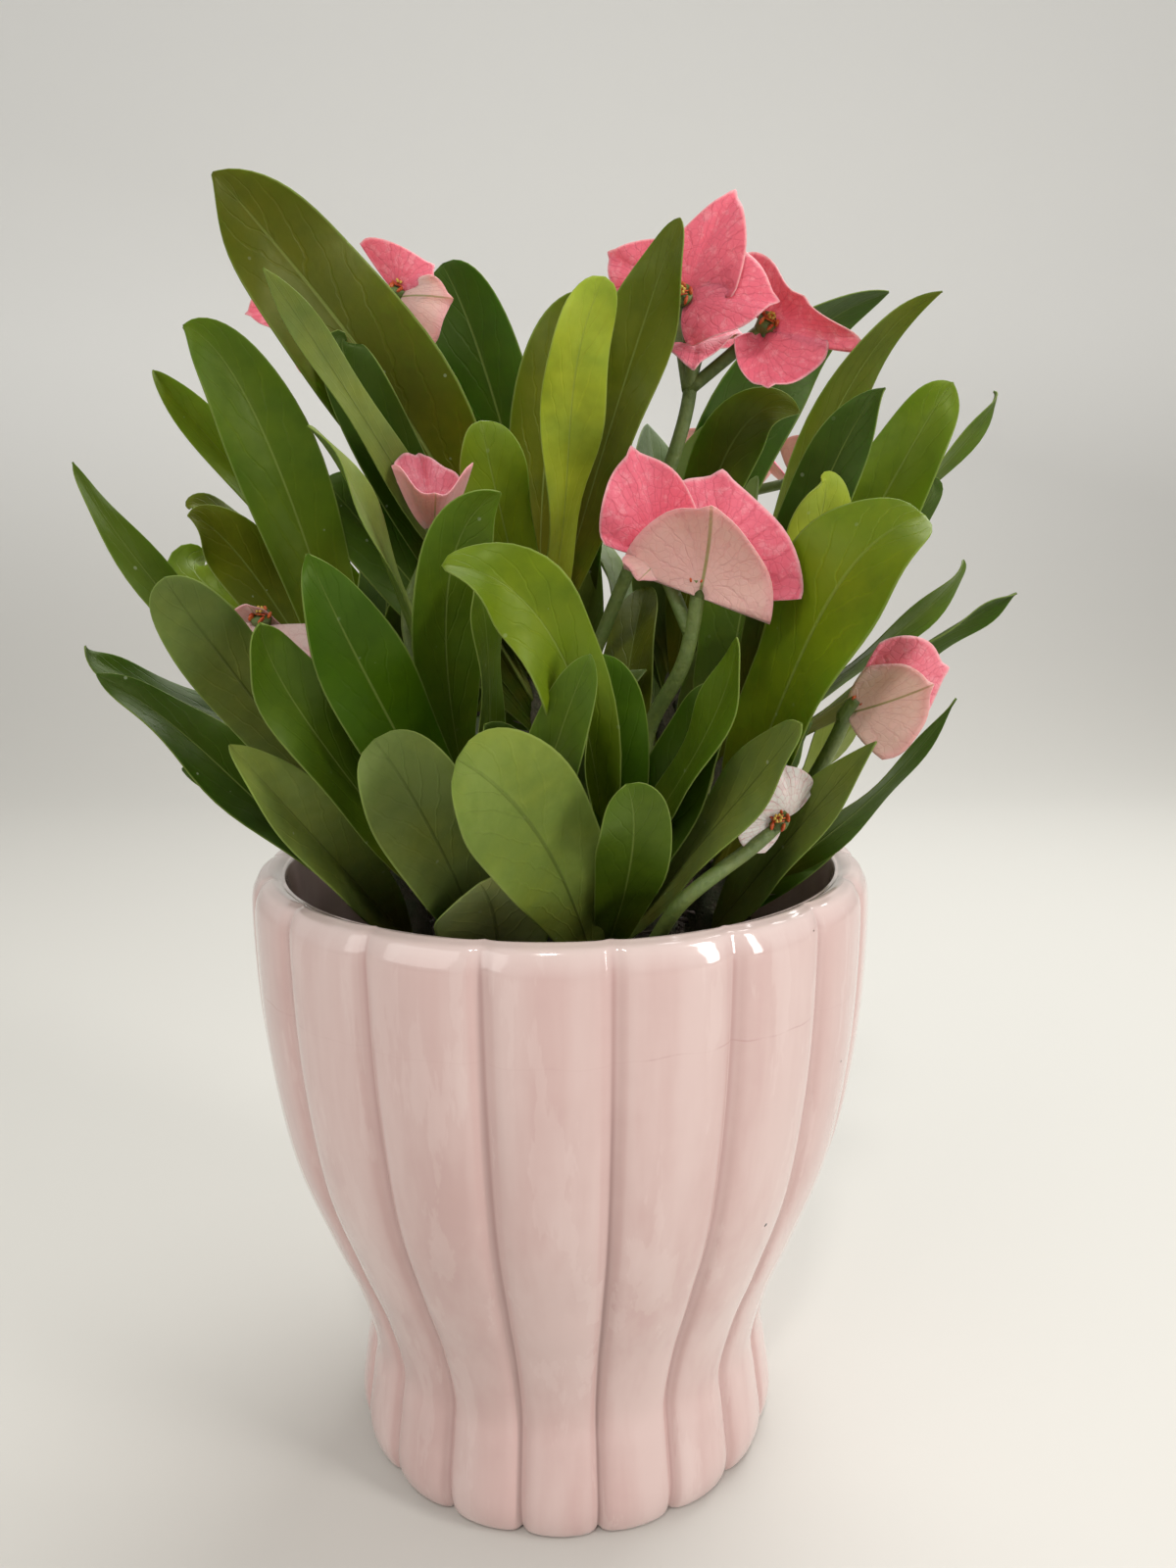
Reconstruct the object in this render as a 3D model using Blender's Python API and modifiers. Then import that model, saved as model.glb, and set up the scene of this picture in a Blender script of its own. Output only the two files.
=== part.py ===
"""Crown of thorns plant in its fluted pot: thorny stems with blunt leaves and paired pink bracts.

The origin is the centre of the pot's flat underside, +Z is up and -Y is the front. Sizes in the
tables are millimetres; MM turns them into Blender's metres.
"""

import random
from math import cos, pi, radians, sin
from typing import NamedTuple

import bmesh
import bpy
import numpy as np
from mathutils import Vector
from mathutils.bvhtree import BVHTree

MM = 0.001

# Driving dimensions, mm
POT_RADIUS = 70.0
POT_HEIGHT = 140.0
POT_FLOOR = 12.0
LOBES = 18
LOBE_COLUMNS = 4
LOBE_PHASE = radians(1.0)
LIP_BOTTOM = 138.5
GROOVE_SHARPNESS = 2.4
SOIL_TOP = 112.0
SOIL_MOUND = 3.0
SOIL_SHOULDER = (0.6, 0.7)
SOIL_COLUMNS = 24
HOLE_RISE = 20.0
HOLE_SIDES = 8
GAP = 0.3
STEM_FOOT = 84.0
STEM_BEND = 118.0
STEM_RADIUS = 5.2
STEM_TIP_RADIUS = 3.6
BLADE_THICKNESS = 0.7
PETIOLE_WIDTH = 2.6
BLADE_RISE = 0.85
BLADE_TIP_SHARE = 0.12
BLADE_WAVES = 2.2
STATION_SPREAD = 1.3
BRACT_THICKNESS = 0.7
BRACT_SPAN = radians(98.0)
BRACT_SQUARENESS = 1.28
BRACT_SIDE = 0.72
BRACT_START = 0.08
BRACT_RISE = 1.8
BRACT_ROWS, BRACT_COLUMNS = 4, 7
PAIR_SWEEP = 0.25
PAIR_BOW = 1.5
PEDUNCLE_RADIUS = 1.6
BRANCH_RADIUS = 1.4
PEDUNCLE_RUN = 2.5
FORK_SHARE = 0.15
FLOWER_RADII = (1.7, 2.5)
FLOWER_ENDS = (-2.0, 3.2)
THORN_LENGTH = 11.0
THORN_RADIUS = 1.0
THORNS_PER_STEM = 8
THORN_ROOT = 2.2
THORN_SHORTEST, THORN_LONGEST = 0.75, 1.1
THORN_RISE = (0.1, 0.45)
THORN_START, THORN_STOP = 5.0, 7.0
STEM_TUBE_STATIONS = 4
STEM_CAP = 2.5
CLEARANCE = 0.5
RIM_CLEARANCE = 1.5
SOIL_CLEARANCE = 0.8
RIM_INSIDE = 60.0
# Depths (mm) and turns (degrees) tried in this order where a blade as written would touch another
REACHES = (0.0, 2.5, -2.5, 5.0, -5.0, 7.5, -7.5, 10.0, -10.0, 14.0, -14.0)
TURNS = (0.0, 12.0, -12.0, 24.0, -24.0)
MIDDLE_REACH = 0.8
SWING_PER_REACH = 4.0
GOLDEN_ANGLE = radians(137.508)
SEED = 11
UNION_SOLVER = "MANIFOLD"

# Blades that the table turns by 0 degrees face this point in front of the plant
FRONT_POINT = np.array((6.0, -266.0, 207.0))
UP = np.array((0.0, 0.0, 1.0))

# Crown radius of the pot's outer wall at each height, from the lip down to the foot
OUTER_WALL = (
    (65.8, 140.0), (68.4, 138.2), (69.9, 131.0), (68.9, 105.0), (64.9, 79.0), (57.8, 58.0),
    (52.0, 43.0), (48.4, 29.0), (49.2, 20.0), (50.7, 8.5), (49.6, 2.4), (47.2, 0.0),
)
INNER_WALL = ((42.0, POT_FLOOR), (48.0, 45.0), (60.0, 85.0), (61.5, 110.0), (61.9, 136.0), (63.4, 139.2))
# Depth of the grooves between lobes along the outer wall: (height, depth)
GROOVE_DEPTH = ((0.0, 2.6), (29.0, 2.4), (60.0, 2.8), (100.0, 2.6), (130.0, 2.0), (140.0, 1.2))


class Stem(NamedTuple):
    """A thorny stem: its foot in the soil and its tip, mm."""

    foot: tuple
    tip: tuple


class Leaf(NamedTuple):
    """A blade: its stem, the height of its foot, and the middle and tip of its midrib, mm."""

    stem: str
    base: float
    middle: tuple
    tip: tuple
    width: float
    turn: float = 0.0
    twist: float = 0.0
    fold: float = 12.0
    wave: float = 1.0
    point: float = 0.8
    sway: float = 0.0
    by_rule: bool = False


class Bract(NamedTuple):
    """A kidney-shaped bract: root, crown and the ends of its two sides, mm, and how far its midrib bows."""

    root: tuple
    crown: tuple
    left: tuple
    right: tuple
    bow: float = 2.0


class Head(NamedTuple):
    """One small flower with its bracts: its centre, mm, and the way it faces."""

    centre: tuple
    axis: tuple
    bracts: tuple


class Bloom(NamedTuple):
    """A peduncle's route from its stem, with the heads that it carries."""

    stem: str
    base: float
    route: tuple
    heads: tuple


def unit(vector):
    """The vector at length 1."""
    return vector / np.linalg.norm(vector)


def turned_about(vector, axis, angle):
    """The vector turned by an angle about a unit axis."""
    along = axis * (axis @ vector)
    return vector * cos(angle) + np.cross(axis, vector) * sin(angle) + along * (1 - cos(angle))


def pair(centre, axis, roll, size, cup):
    """A head of two like bracts across from each other, cupped by an angle in degrees."""
    axis = unit(np.array(axis, float))
    level = unit(np.cross(axis, UP))
    bracts = []
    for side in (-1, 1):
        along = turned_about(level, axis, radians(roll)) * side
        lateral = np.cross(axis, along)
        rise = sin(radians(cup))
        root = np.array(centre, float) + along
        crown = root + size * (along * cos(radians(cup)) + axis * rise)
        left = root + size * (BRACT_SIDE * lateral + PAIR_SWEEP * along + axis * rise * PAIR_SWEEP)
        right = root + size * (-BRACT_SIDE * lateral + PAIR_SWEEP * along + axis * rise * PAIR_SWEEP)
        bracts.append(Bract(tuple(root), tuple(crown), tuple(left), tuple(right), -PAIR_BOW))
    return Head(centre, tuple(axis), tuple(bracts))


STEMS = {
    "front": Stem((8, -24), (12, -32, 156)),
    "front_left": Stem((-14, -22), (-18, -30, 158)),
    "left": Stem((-34, -4), (-42, -10, 164)),
    "centre": Stem((-2, 4), (-4, -2, 186)),
    "back_left": Stem((-20, 26), (-26, 30, 176)),
    "right": Stem((32, -8), (38, -14, 166)),
    "back_right": Stem((24, 22), (28, 22, 180)),
    "back": Stem((2, 38), (2, 44, 170)),
}

# The leaves of the front and the outline, nearest first
LEAVES = (
    Leaf("front", 117, (-1, -62, 156), (-15, -77, 175), 23, 12, 0, 8, 1, 0.45),
    Leaf("front_left", 118, (-21, -56, 155), (-30, -68, 177), 19, 15, 0, 8, 1, 0.45),
    Leaf("front_left", 116, (-11, -55, 139), (-13, -67, 152), 23, 20, 0, 8, 0.5, 0.4),
    Leaf("front", 136, (3, -61, 188), (-17, -72, 206), 15, 5, 30, 20, 3.0, 0.5),
    Leaf("front_left", 124, (-1, -58, 169), (7, -66, 191), 11, -10),
    Leaf("left", 118, (-45, -48, 154), (-57, -60, 175), 16, 25, 0, 34),
    Leaf("front", 120, (14, -55, 151), (13, -68, 169), 14, 10, 0, 12, 1, 0.5),
    Leaf("front", 122, (33, -53, 161), (43, -66, 179), 14, -35),
    Leaf("right", 120, (43, -46, 151), (57, -66, 177), 12, -35),
    Leaf("right", 140, (47, -48, 191), (65, -58, 214), 25, -15, 0, 10, 1.6, 0.5, sway=1.5),
    Leaf("front", 140, (27, -54, 173), (32, -62, 193), 10, -60),
    Leaf("front_left", 124, (-41, -55, 173), (-47, -72, 197), 14, 20, 0, 20, 2.2, 0.7),
    Leaf("front_left", 138, (-33, -49, 183), (-41, -60, 207), 17, -10, 0, 12, 1.4, 0.95),
    Leaf("front_left", 154, (-19, -52, 199), (-8, -61, 218), 14, 20),
    Leaf("front_left", 156, (-31, -44, 207), (-41, -55, 229), 12, 78),
    Leaf("front_left", 136, (-12, -50, 186), (-14, -56, 203), 9, 55),
    Leaf("left", 134, (-58, -42, 182), (-66, -58, 203), 14, 20, 0, 8, 1, 0.6),
    Leaf("front", 128, (11, -47, 170), (9, -54, 190), 14, 20),
    Leaf("front", 124, (24, -42, 164), (31, -46, 184), 15, -20),
    Leaf("front_left", 130, (-10, -46, 162), (-12, -58, 178), 16, 10),
    Leaf("centre", 172, (-32, -34, 227), (-46, -62, 254), 9, 45, -20),
    Leaf("centre", 178, (-36, -24, 245), (-59, -42, 274), 25, 12, 0, 10, 2.8, sway=1.5),
    Leaf("left", 158, (-52, -35, 224), (-65, -45, 248), 17, 15, 0, 12, 1, 0.85),
    Leaf("centre", 166, (-32, -20, 205), (-46, -24, 223), 15, 15, 0, 12, 1, 0.5),
    Leaf("left", 144, (-77, -24, 197), (-93, -30, 226), 10, 35, 0, 12, 1, 1.0),
    Leaf("left", 162, (-63, -12, 202), (-74, -22, 216), 15, 20),
    Leaf("left", 126, (-65, -28, 161), (-91, -32, 185), 15, 30, 0, 20, 1.8, sway=-1.5),
    Leaf("left", 120, (-60, -18, 153), (-79, -22, 164), 13, 25),
    Leaf("centre", 180, (-10, -30, 214), (-13, -40, 232), 14, 25, 0, 12, 1, 0.5),
    Leaf("centre", 182, (3, -32, 228), (10, -44, 256), 12, 25, -25, 12, 2.2, 0.45, sway=1.2),
    Leaf("centre", 184, (13, -24, 237), (24, -35, 268), 14, -20, 0, 12, 3.0, 0.7),
    Leaf("centre", 184, (-1, -8, 236), (10, -10, 259), 18, 10, 0, 12, 1, 0.6),
    Leaf("right", 164, (53, -24, 229), (74, -30, 256), 10, 25, 0, 8, 1, 1.0),
    Leaf("right", 158, (50, -33, 214), (61, -42, 237), 14, -20, 0, 12, 1, 1.0),
    Leaf("right", 156, (65, -25, 217), (78, -26, 240), 17, -15, 0, 12, 1.8, 1.0),
    Leaf("right", 150, (48, -38, 204), (49, -46, 221), 13, 50),
    Leaf("right", 128, (61, -24, 153), (80, -32, 179), 9, 50, 0, 12, 1, 1.2),
    Leaf("right", 132, (40, -38, 164), (49, -44, 176), 13, 60),
    Leaf("right", 122, (49, -25, 147), (58, -22, 155), 16, 15, 0, 12, 1, 0.5),
    Leaf("right", 160, (78, -10, 187), (98, -12, 199), 10, 58, 0, 25, 1, 1.0),
    Leaf("back_right", 168, (82, 8, 222), (98, 10, 243), 7, 62, 0, 12, 1, 1.0),
    Leaf("back_right", 158, (73, 6, 207), (83, 8, 223), 8, 30),
    Leaf("back_right", 150, (74, 2, 188), (90, 0, 206), 9, 58),
    Leaf("back_right", 176, (45, 28, 240), (78, 28, 268), 22, 20, 40),
    Leaf("back_right", 172, (36, 2, 226), (52, -5, 237), 15, -20),
    Leaf("back_left", 168, (-67, -4, 224), (-81, -16, 245), 11, 20, 0, 30, 1, 1.0),
    Leaf("back_left", 160, (-73, 8, 195), (-84, 18, 207), 14, 15, 0, 12, 1, 0.5),
    Leaf("back_left", 166, (-65, 4, 208), (-79, -6, 218), 11, 50),
    Leaf("back_left", 148, (-83, 0, 174), (-103, -8, 189), 12, 50, 0, 12, 1, 1.0),
    Leaf("back", 164, (-13, 26, 236), (-26, 20, 273), 19, 0, 0, 12, 1.8, 0.5),
    Leaf("back", 160, (4, 16, 228), (2, 6, 250), 14, 10),
    Leaf("centre", 168, (-33, -25, 229), (-39, -30, 248), 13, 0, 0, 12, 1.5),
    Leaf("front", 126, (5, -54, 168), (6, -60, 185), 5, -40),
)

BLOOMS = {
    "bloom_top_left": Bloom(
        "centre", 176, ((-16, 3, 196), (-28, 4, 226), (-38, 3, 250)),
        (
            Head((-34, 2, 262), (0.3, -0.5, 0.8), (
                Bract((-34, 2, 263), (-26, 0, 268), (-41, 4, 274), (-29, 0, 259)),
                Bract((-34, 2, 262), (-22, -2, 261), (-28, 0, 266), (-27, -2, 251)),
            )),
            Head((-57, 4, 256), (-0.3, -0.4, 0.9), (
                Bract((-57, 4, 256), (-66, 2, 259), (-58, 2, 253), (-62, 8, 264)),
                Bract((-56, 4, 255), (-50, -2, 245), (-58, 0, 254), (-47, 6, 255)),
            )),
        ),
    ),
    "bloom_top_right": Bloom(
        "centre", 174, ((12, -6, 196), (24, -14, 226), (28, -15, 243)),
        (
            Head((26, -19, 257), (-0.2, -0.9, 0.3), (
                Bract((26, -19, 257), (35, -20, 276), (18, -18, 259), (36, -24, 258)),
                Bract((26, -20, 256), (43, -24, 256), (32, -16, 268), (28, -22, 248)),
            )),
            Head((42, -17, 252), (0.3, -0.7, 0.4), (
                Bract((42, -17, 253), (48, -25, 256), (39, -13, 267), (59, -26, 246), -2.0),
                Bract((42, -18, 251), (42, -26, 240), (36, -20, 249), (54, -24, 248)),
            )),
            Head((30, -12, 250), (-0.2, -0.3, 0.9), (
                Bract((30, -13, 250), (28, -22, 244), (22, -14, 249), (38, -14, 251), -2.0),
                Bract((30, -10, 250), (36, 4, 256), (28, 0, 256), (39, -2, 251)),
            )),
            Head((25, -8, 260), (-0.5, -0.3, 0.8), (
                Bract((25, -8, 260), (12, -5, 269), (17, -6, 257), (27, -8, 269)),
                Bract((26, -7, 260), (31, 4, 273), (26, 2, 271), (35, 0, 264)),
            )),
        ),
    ),
    "bloom_right": Bloom(
        "front", 150, ((18, -36, 172), (24, -43, 186), (26, -45, 194)),
        (
            Head((27, -46, 201), (0.0, -0.3, 0.95), (
                Bract((27, -48, 200), (28, -58, 215), (13, -44, 206), (40, -50, 196), -2.0),
                Bract((29, -45, 201), (32, -37, 222), (18, -40, 210), (46, -48, 201)),
            )),
            Head((20, -41, 207), (-0.5, -0.5, 0.7), (
                Bract((20, -41, 208), (15, -42, 226), (9, -45, 211), (27, -42, 215)),
                Bract((20, -42, 206.5), (16, -47, 203), (13, -46.5, 207), (22, -43, 203.5), -1.0),
            )),
        ),
    ),
    "bloom_left": Bloom(
        "front_left", 150, ((-26, -34, 180), (-28, -37, 196), (-24, -40, 206)),
        (
            Head((-22, -40, 212), (0.0, -0.3, 0.95), (
                Bract((-22, -41, 212), (-20, -53, 218), (-29, -44, 224), (-14, -46, 224), 0.0),
                Bract((-22, -38, 212), (-26, -28, 227), (-30, -34, 223), (-17, -34, 220), 0.0),
            )),
        ),
    ),
    "bloom_far_left": Bloom(
        "left", 142, ((-48, -20, 158), (-54, -33, 176), (-54, -38, 187)),
        (
            Head((-55, -42, 195), (0.1, -0.6, 0.8), (
                Bract((-54, -43, 195), (-50, -48, 183), (-61, -45, 195), (-45, -42, 194), -2.0),
                Bract((-55, -41, 195), (-56, -46, 199), (-62, -42, 195), (-51, -40, 194), 0.0),
            )),
        ),
    ),
    "bloom_far_right": Bloom(
        "right", 142, ((48, -24, 152), (52, -32, 163), (55, -36, 171)),
        (
            Head((57, -38, 177), (0.7, 0.2, 0.6), (
                Bract((57, -39, 177), (70, -48, 183), (62, -36, 186), (64, -44, 169), -1.0),
                Bract((59, -36, 178), (76, -36, 185), (65, -34, 191), (65, -36, 169)),
            )),
        ),
    ),
    "bloom_wilted": Bloom(
        "front", 120, ((18, -42, 130), (24, -54, 144), (37, -50, 153)),
        (
            Head((43, -46, 157), (-0.2, -0.8, 0.4), (
                Bract((44, -46, 158), (43, -46, 168), (37, -50, 160), (49, -44, 163)),
                Bract((43, -47, 157), (34, -51, 157), (39, -50, 152), (38, -50, 164), 0.0),
            )),
        ),
    ),
    "bloom_back_right": Bloom(
        "back_right", 164, ((36, 36, 190), (42, 50, 212), (42, 56, 224)),
        (
            pair((42, 58, 230), (0.3, 0.7, 0.6), 20, 14, 30),
            pair((60, 48, 226), (0.8, 0.4, 0.4), -30, 13, 30),
        ),
    ),
    "bloom_back_left": Bloom(
        "back", 160, ((-12, 54, 184), (-26, 62, 204), (-32, 64, 216)),
        (pair((-32, 66, 222), (-0.3, 0.8, 0.5), -15, 14, 30),),
    ),
}

# Leaves that a rule sets round each stem, behind those of the table
RULE_LEAVES = {
    "front": 4, "front_left": 4, "left": 5, "centre": 5,
    "back_left": 6, "right": 5, "back_right": 6, "back": 10,
}
RULE_LIMITS = (88.0, 92.0, 250.0)
RULE_STEEPNESS = (78.0, 50.0, 6.0)
RULE_LENGTH = (58.0, 84.0)
RULE_WIDTH = (14.0, 22.0)
RULE_BOW = 7.0
RULE_FRONT = -12.0
RULE_TURN = (-25.0, 25.0)
RULE_TWIST = (-15.0, 15.0)
RULE_FOLD = (6.0, 22.0)
RULE_WAVE = (0.6, 1.6)
RULE_POINT = (0.5, 0.8)
RULE_TOP_FOOT, RULE_LOW_FOOT = 4.0, 6.0
STATIONS = 7


def stem_point(name, height):
    """The centre of a stem at a height: upright out of the soil, then leaning to its tip."""
    foot, tip = STEMS[name]
    lean = max(0.0, (height - STEM_BEND) / (tip[2] - STEM_BEND))
    return np.array((foot[0] + (tip[0] - foot[0]) * lean, foot[1] + (tip[1] - foot[1]) * lean, height))


def blade_half_width(leaf, t):
    """Half the blade's width at a share t of its length: a narrow foot, widest past the middle, a tip."""
    peak = BLADE_RISE / (BLADE_RISE + leaf.point)
    swell = (t / peak) ** BLADE_RISE * ((1 - t) / (1 - peak)) ** leaf.point
    petiole = PETIOLE_WIDTH * (1 - t)
    return max(leaf.width * swell, leaf.width * BLADE_TIP_SHARE * t, petiole) / 2


def blade_grid(leaf, stations=STATIONS, sides=(-1.0, 0.0, 1.0)):
    """Rows of points across a blade, from its foot inside the stem to its tip, mm."""
    foot = stem_point(leaf.stem, leaf.base)
    middle, tip = np.array(leaf.middle, float), np.array(leaf.tip, float)
    bend = 2 * middle - (foot + tip) / 2
    facing = UP * 0.6 - unit((tip - foot) * (1, 1, 0)) * 0.8 if leaf.by_rule else FRONT_POINT - middle
    rows = []
    for step in np.linspace(0, 1, stations):
        t = 1 - (1 - step) ** STATION_SPREAD
        point = (1 - t) ** 2 * foot + 2 * t * (1 - t) * bend + t * t * tip
        along = unit((1 - t) * (bend - foot) + t * (tip - bend))
        normal = unit(facing - (facing @ along) * along)
        normal = turned_about(normal, along, radians(leaf.turn + leaf.twist * (2 * t - 1)))
        across = np.cross(along, normal)
        point = point + across * leaf.sway * sin(2 * pi * t)
        half = blade_half_width(leaf, t)
        ripple = leaf.wave * sin(2 * pi * BLADE_WAVES * t + leaf.base) * (4 * t * (1 - t)) ** 0.5
        fold = radians(leaf.fold)
        rows.append([
            point + across * side * half * cos(fold)
            + normal * (abs(side) * half * sin(fold) + ripple * side * abs(side) ** 0.5)
            for side in sides
        ])
    return np.array(rows)


def grid_faces(rows, columns):
    """Triangles of a grid of points, all split along the same diagonal."""
    faces = []
    for row in range(rows - 1):
        for column in range(columns - 1):
            a = row * columns + column
            faces += [(a, a + 1, a + columns + 1), (a, a + columns + 1, a + columns)]
    return faces


def slab_tree(grid, thickness):
    """A search tree of the closed slab round a grid of points."""
    rows, columns = grid.shape[:2]
    normals = np.cross(np.gradient(grid, axis=1), np.gradient(grid, axis=0))
    normals /= np.linalg.norm(normals, axis=2, keepdims=True) + 1e-9
    sheets = [(grid + normals * side * thickness / 2).reshape(-1, 3) for side in (-1, 1)]
    faces = grid_faces(rows, columns)
    count = rows * columns
    rim = [row * columns for row in range(rows)] + [(rows - 1) * columns + c for c in range(1, columns)]
    rim += [row * columns + columns - 1 for row in range(rows - 2, -1, -1)]
    rim += list(range(columns - 2, 0, -1))
    walls = [(a, b, b + count, a + count) for a, b in zip(rim, rim[1:] + rim[:1])]
    points = [Vector(p) for p in np.concatenate(sheets)]
    return BVHTree.FromPolygons(points, faces + [tuple(i + count for i in f) for f in faces] + walls)


def mesh_tree(obj):
    """A search tree of a finished mesh object, in mm."""
    points = [vertex.co / MM for vertex in obj.data.vertices]
    return BVHTree.FromPolygons(points, [tuple(face.vertices) for face in obj.data.polygons])


def in_pot_or_soil(grid):
    """Whether any point of a blade comes too near the pot's rim or the soil."""
    radius = np.hypot(grid[..., 0], grid[..., 1])
    on_rim = (grid[..., 2] < POT_HEIGHT + RIM_CLEARANCE) & (radius > RIM_INSIDE)
    on_rim &= radius < POT_RADIUS + RIM_CLEARANCE
    in_soil = (grid[..., 2] < SOIL_TOP + SOIL_MOUND + SOIL_CLEARANCE) & (radius < POT_RADIUS)
    return bool((on_rim | in_soil).any())


def variants(leaf):
    """The leaf as written, then with small changes of depth and turn, for a place clear of the others."""
    foot = stem_point(leaf.stem, leaf.base)
    points = [np.array(point, float) for point in (leaf.middle, leaf.tip)]
    line = unit(FRONT_POINT - points[0])
    for reach in REACHES:
        if leaf.by_rule:
            swing = radians(SWING_PER_REACH * reach)
            moved = [turned_about(point - foot, UP, swing) + foot for point in points]
        else:
            moved = [points[0] + line * reach * MIDDLE_REACH, points[1] + line * reach]
        for turn in TURNS:
            yield leaf._replace(middle=tuple(moved[0]), tip=tuple(moved[1]), turn=leaf.turn + turn)


def settle(leaves, solids):
    """The leaves that find a clear place, each at the first of its variants that touches nothing else.

    solids holds (node, tree) of what stands already. Blades of one stem may meet near their feet.
    """
    placed = []
    for leaf in leaves:
        for trial in variants(leaf):
            grid = blade_grid(trial)
            if in_pot_or_soil(grid[1:]):
                continue
            whole = slab_tree(grid, BLADE_THICKNESS + 2 * CLEARANCE)
            outer = slab_tree(grid[1 if leaf.by_rule else 2:], BLADE_THICKNESS + 2 * CLEARANCE)
            if any((outer if node == leaf.stem else whole).overlap(tree) for node, tree in solids):
                continue
            if any(
                outer.overlap(parts[1]) if other.stem == leaf.stem else whole.overlap(parts[0])
                for other, parts in placed
            ):
                continue
            trees = slab_tree(grid, BLADE_THICKNESS), slab_tree(grid[2:], BLADE_THICKNESS)
            placed.append((trial, trees))
            break
        else:
            if not leaf.by_rule:
                print("no clear place for the leaf of", leaf.stem, "at", leaf.tip)
    return placed


def rule_leaves():
    """Leaves set round each stem by the golden angle, steeper towards the tip, away from the front."""
    draw = random.Random(SEED)
    low, gain, spread = RULE_STEEPNESS
    side, back, top = RULE_LIMITS
    for name, (_, tip) in STEMS.items():
        count = RULE_LEAVES[name] * 2
        for step in range(count):
            azimuth = GOLDEN_ANGLE * step + len(name)
            steepness = radians(low - gain * step / count + draw.uniform(-spread, spread))
            length = draw.uniform(*RULE_LENGTH)
            out = np.array((cos(azimuth), sin(azimuth), 0.0))
            base = tip[2] - RULE_TOP_FOOT - (tip[2] - STEM_BEND - RULE_LOW_FOOT) * step / count
            foot = stem_point(name, base)
            end = foot + length * (out * cos(steepness) + UP * sin(steepness))
            bow = RULE_BOW * (1 if step % 3 else -0.6)
            middle = (foot + end) / 2 + bow * (UP * cos(steepness) - out * sin(steepness))
            if abs(end[0]) > side or end[1] > back or end[2] > top or end[1] < RULE_FRONT:
                continue
            look = [
                draw.uniform(*limits)
                for limits in (RULE_WIDTH, RULE_TURN, RULE_TWIST, RULE_FOLD, RULE_WAVE, RULE_POINT)
            ]
            yield Leaf(name, base, tuple(middle), tuple(end), *look, by_rule=True)


def clear_scene():
    """Removes whatever the scene holds."""
    for obj in list(bpy.data.objects):
        bpy.data.objects.remove(obj, do_unlink=True)


def new_collection(name, hidden=False):
    """A collection in the scene; a hidden one holds cutters and pieces to be joined."""
    collection = bpy.data.collections.new(name)
    collection.hide_render = hidden
    bpy.context.scene.collection.children.link(collection)
    return collection


def new_material(name, colour, roughness, metallic=0.0):
    """A plain Principled material."""
    material = bpy.data.materials.new(name)
    material.use_nodes = True
    shader = material.node_tree.nodes["Principled BSDF"]
    shader.inputs["Base Color"].default_value = (*colour, 1.0)
    shader.inputs["Roughness"].default_value = roughness
    shader.inputs["Metallic"].default_value = metallic
    return material


def add_object(name, data, collection, material=None):
    """An object of the given data in a collection."""
    obj = bpy.data.objects.new(name, data)
    collection.objects.link(obj)
    if material:
        data.materials.clear()
        data.materials.append(material)
    return obj


def applied(obj, weld=0.0):
    """Makes an object's evaluated shape its own plain mesh, welded where a distance is given."""
    name, collection = obj.name, obj.users_collection[0]
    graph = bpy.context.evaluated_depsgraph_get()
    mesh = bpy.data.meshes.new_from_object(obj.evaluated_get(graph))
    if weld:
        shape = bmesh.new()
        shape.from_mesh(mesh)
        bmesh.ops.remove_doubles(shape, verts=shape.verts, dist=weld)
        bmesh.ops.recalc_face_normals(shape, faces=shape.faces)
        shape.to_mesh(mesh)
        shape.free()
    bpy.data.objects.remove(obj, do_unlink=True)
    fresh = bpy.data.objects.new(name, mesh)
    collection.objects.link(fresh)
    return fresh


def turned(name, profile, steps, collection):
    """A solid of revolution about Z from (radius, height) points, from the top down the outside."""
    mesh = bpy.data.meshes.new(name)
    points = [(radius * MM, 0.0, height * MM) for radius, height in profile]
    mesh.from_pydata(points, [(i, i + 1) for i in range(len(points) - 1)], [])
    obj = add_object(name, mesh, collection)
    screw = obj.modifiers.new("Turn", "SCREW")
    screw.steps = screw.render_steps = steps
    screw.use_merge_vertices = True
    screw.merge_threshold = 0.0001
    return applied(obj, weld=0.00002)


def tube(name, points, radii, bevel_resolution, collection):
    """A closed tube along points (mm), its radius given at each."""
    curve = bpy.data.curves.new(name, "CURVE")
    curve.dimensions = "3D"
    curve.bevel_depth = MM
    curve.bevel_resolution = bevel_resolution
    curve.use_fill_caps = True
    spline = curve.splines.new("POLY")
    spline.points.add(len(points) - 1)
    for spot, point, radius in zip(spline.points, points, radii):
        spot.co = (*(np.array(point, float) * MM), 1.0)
        spot.radius = radius
    return applied(add_object(name, curve, collection), weld=0.00002)


def sheet(name, grid, thickness, collection):
    """A thin closed blade: a grid of points as an open surface, given its thickness by Solidify."""
    rows, columns = grid.shape[:2]
    mesh = bpy.data.meshes.new(name)
    mesh.from_pydata([tuple(p * MM) for p in grid.reshape(-1, 3)], [], grid_faces(rows, columns))
    obj = add_object(name, mesh, collection)
    solidify = obj.modifiers.new("Thickness", "SOLIDIFY")
    solidify.thickness = thickness * MM
    solidify.offset = 0.0
    return obj


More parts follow.
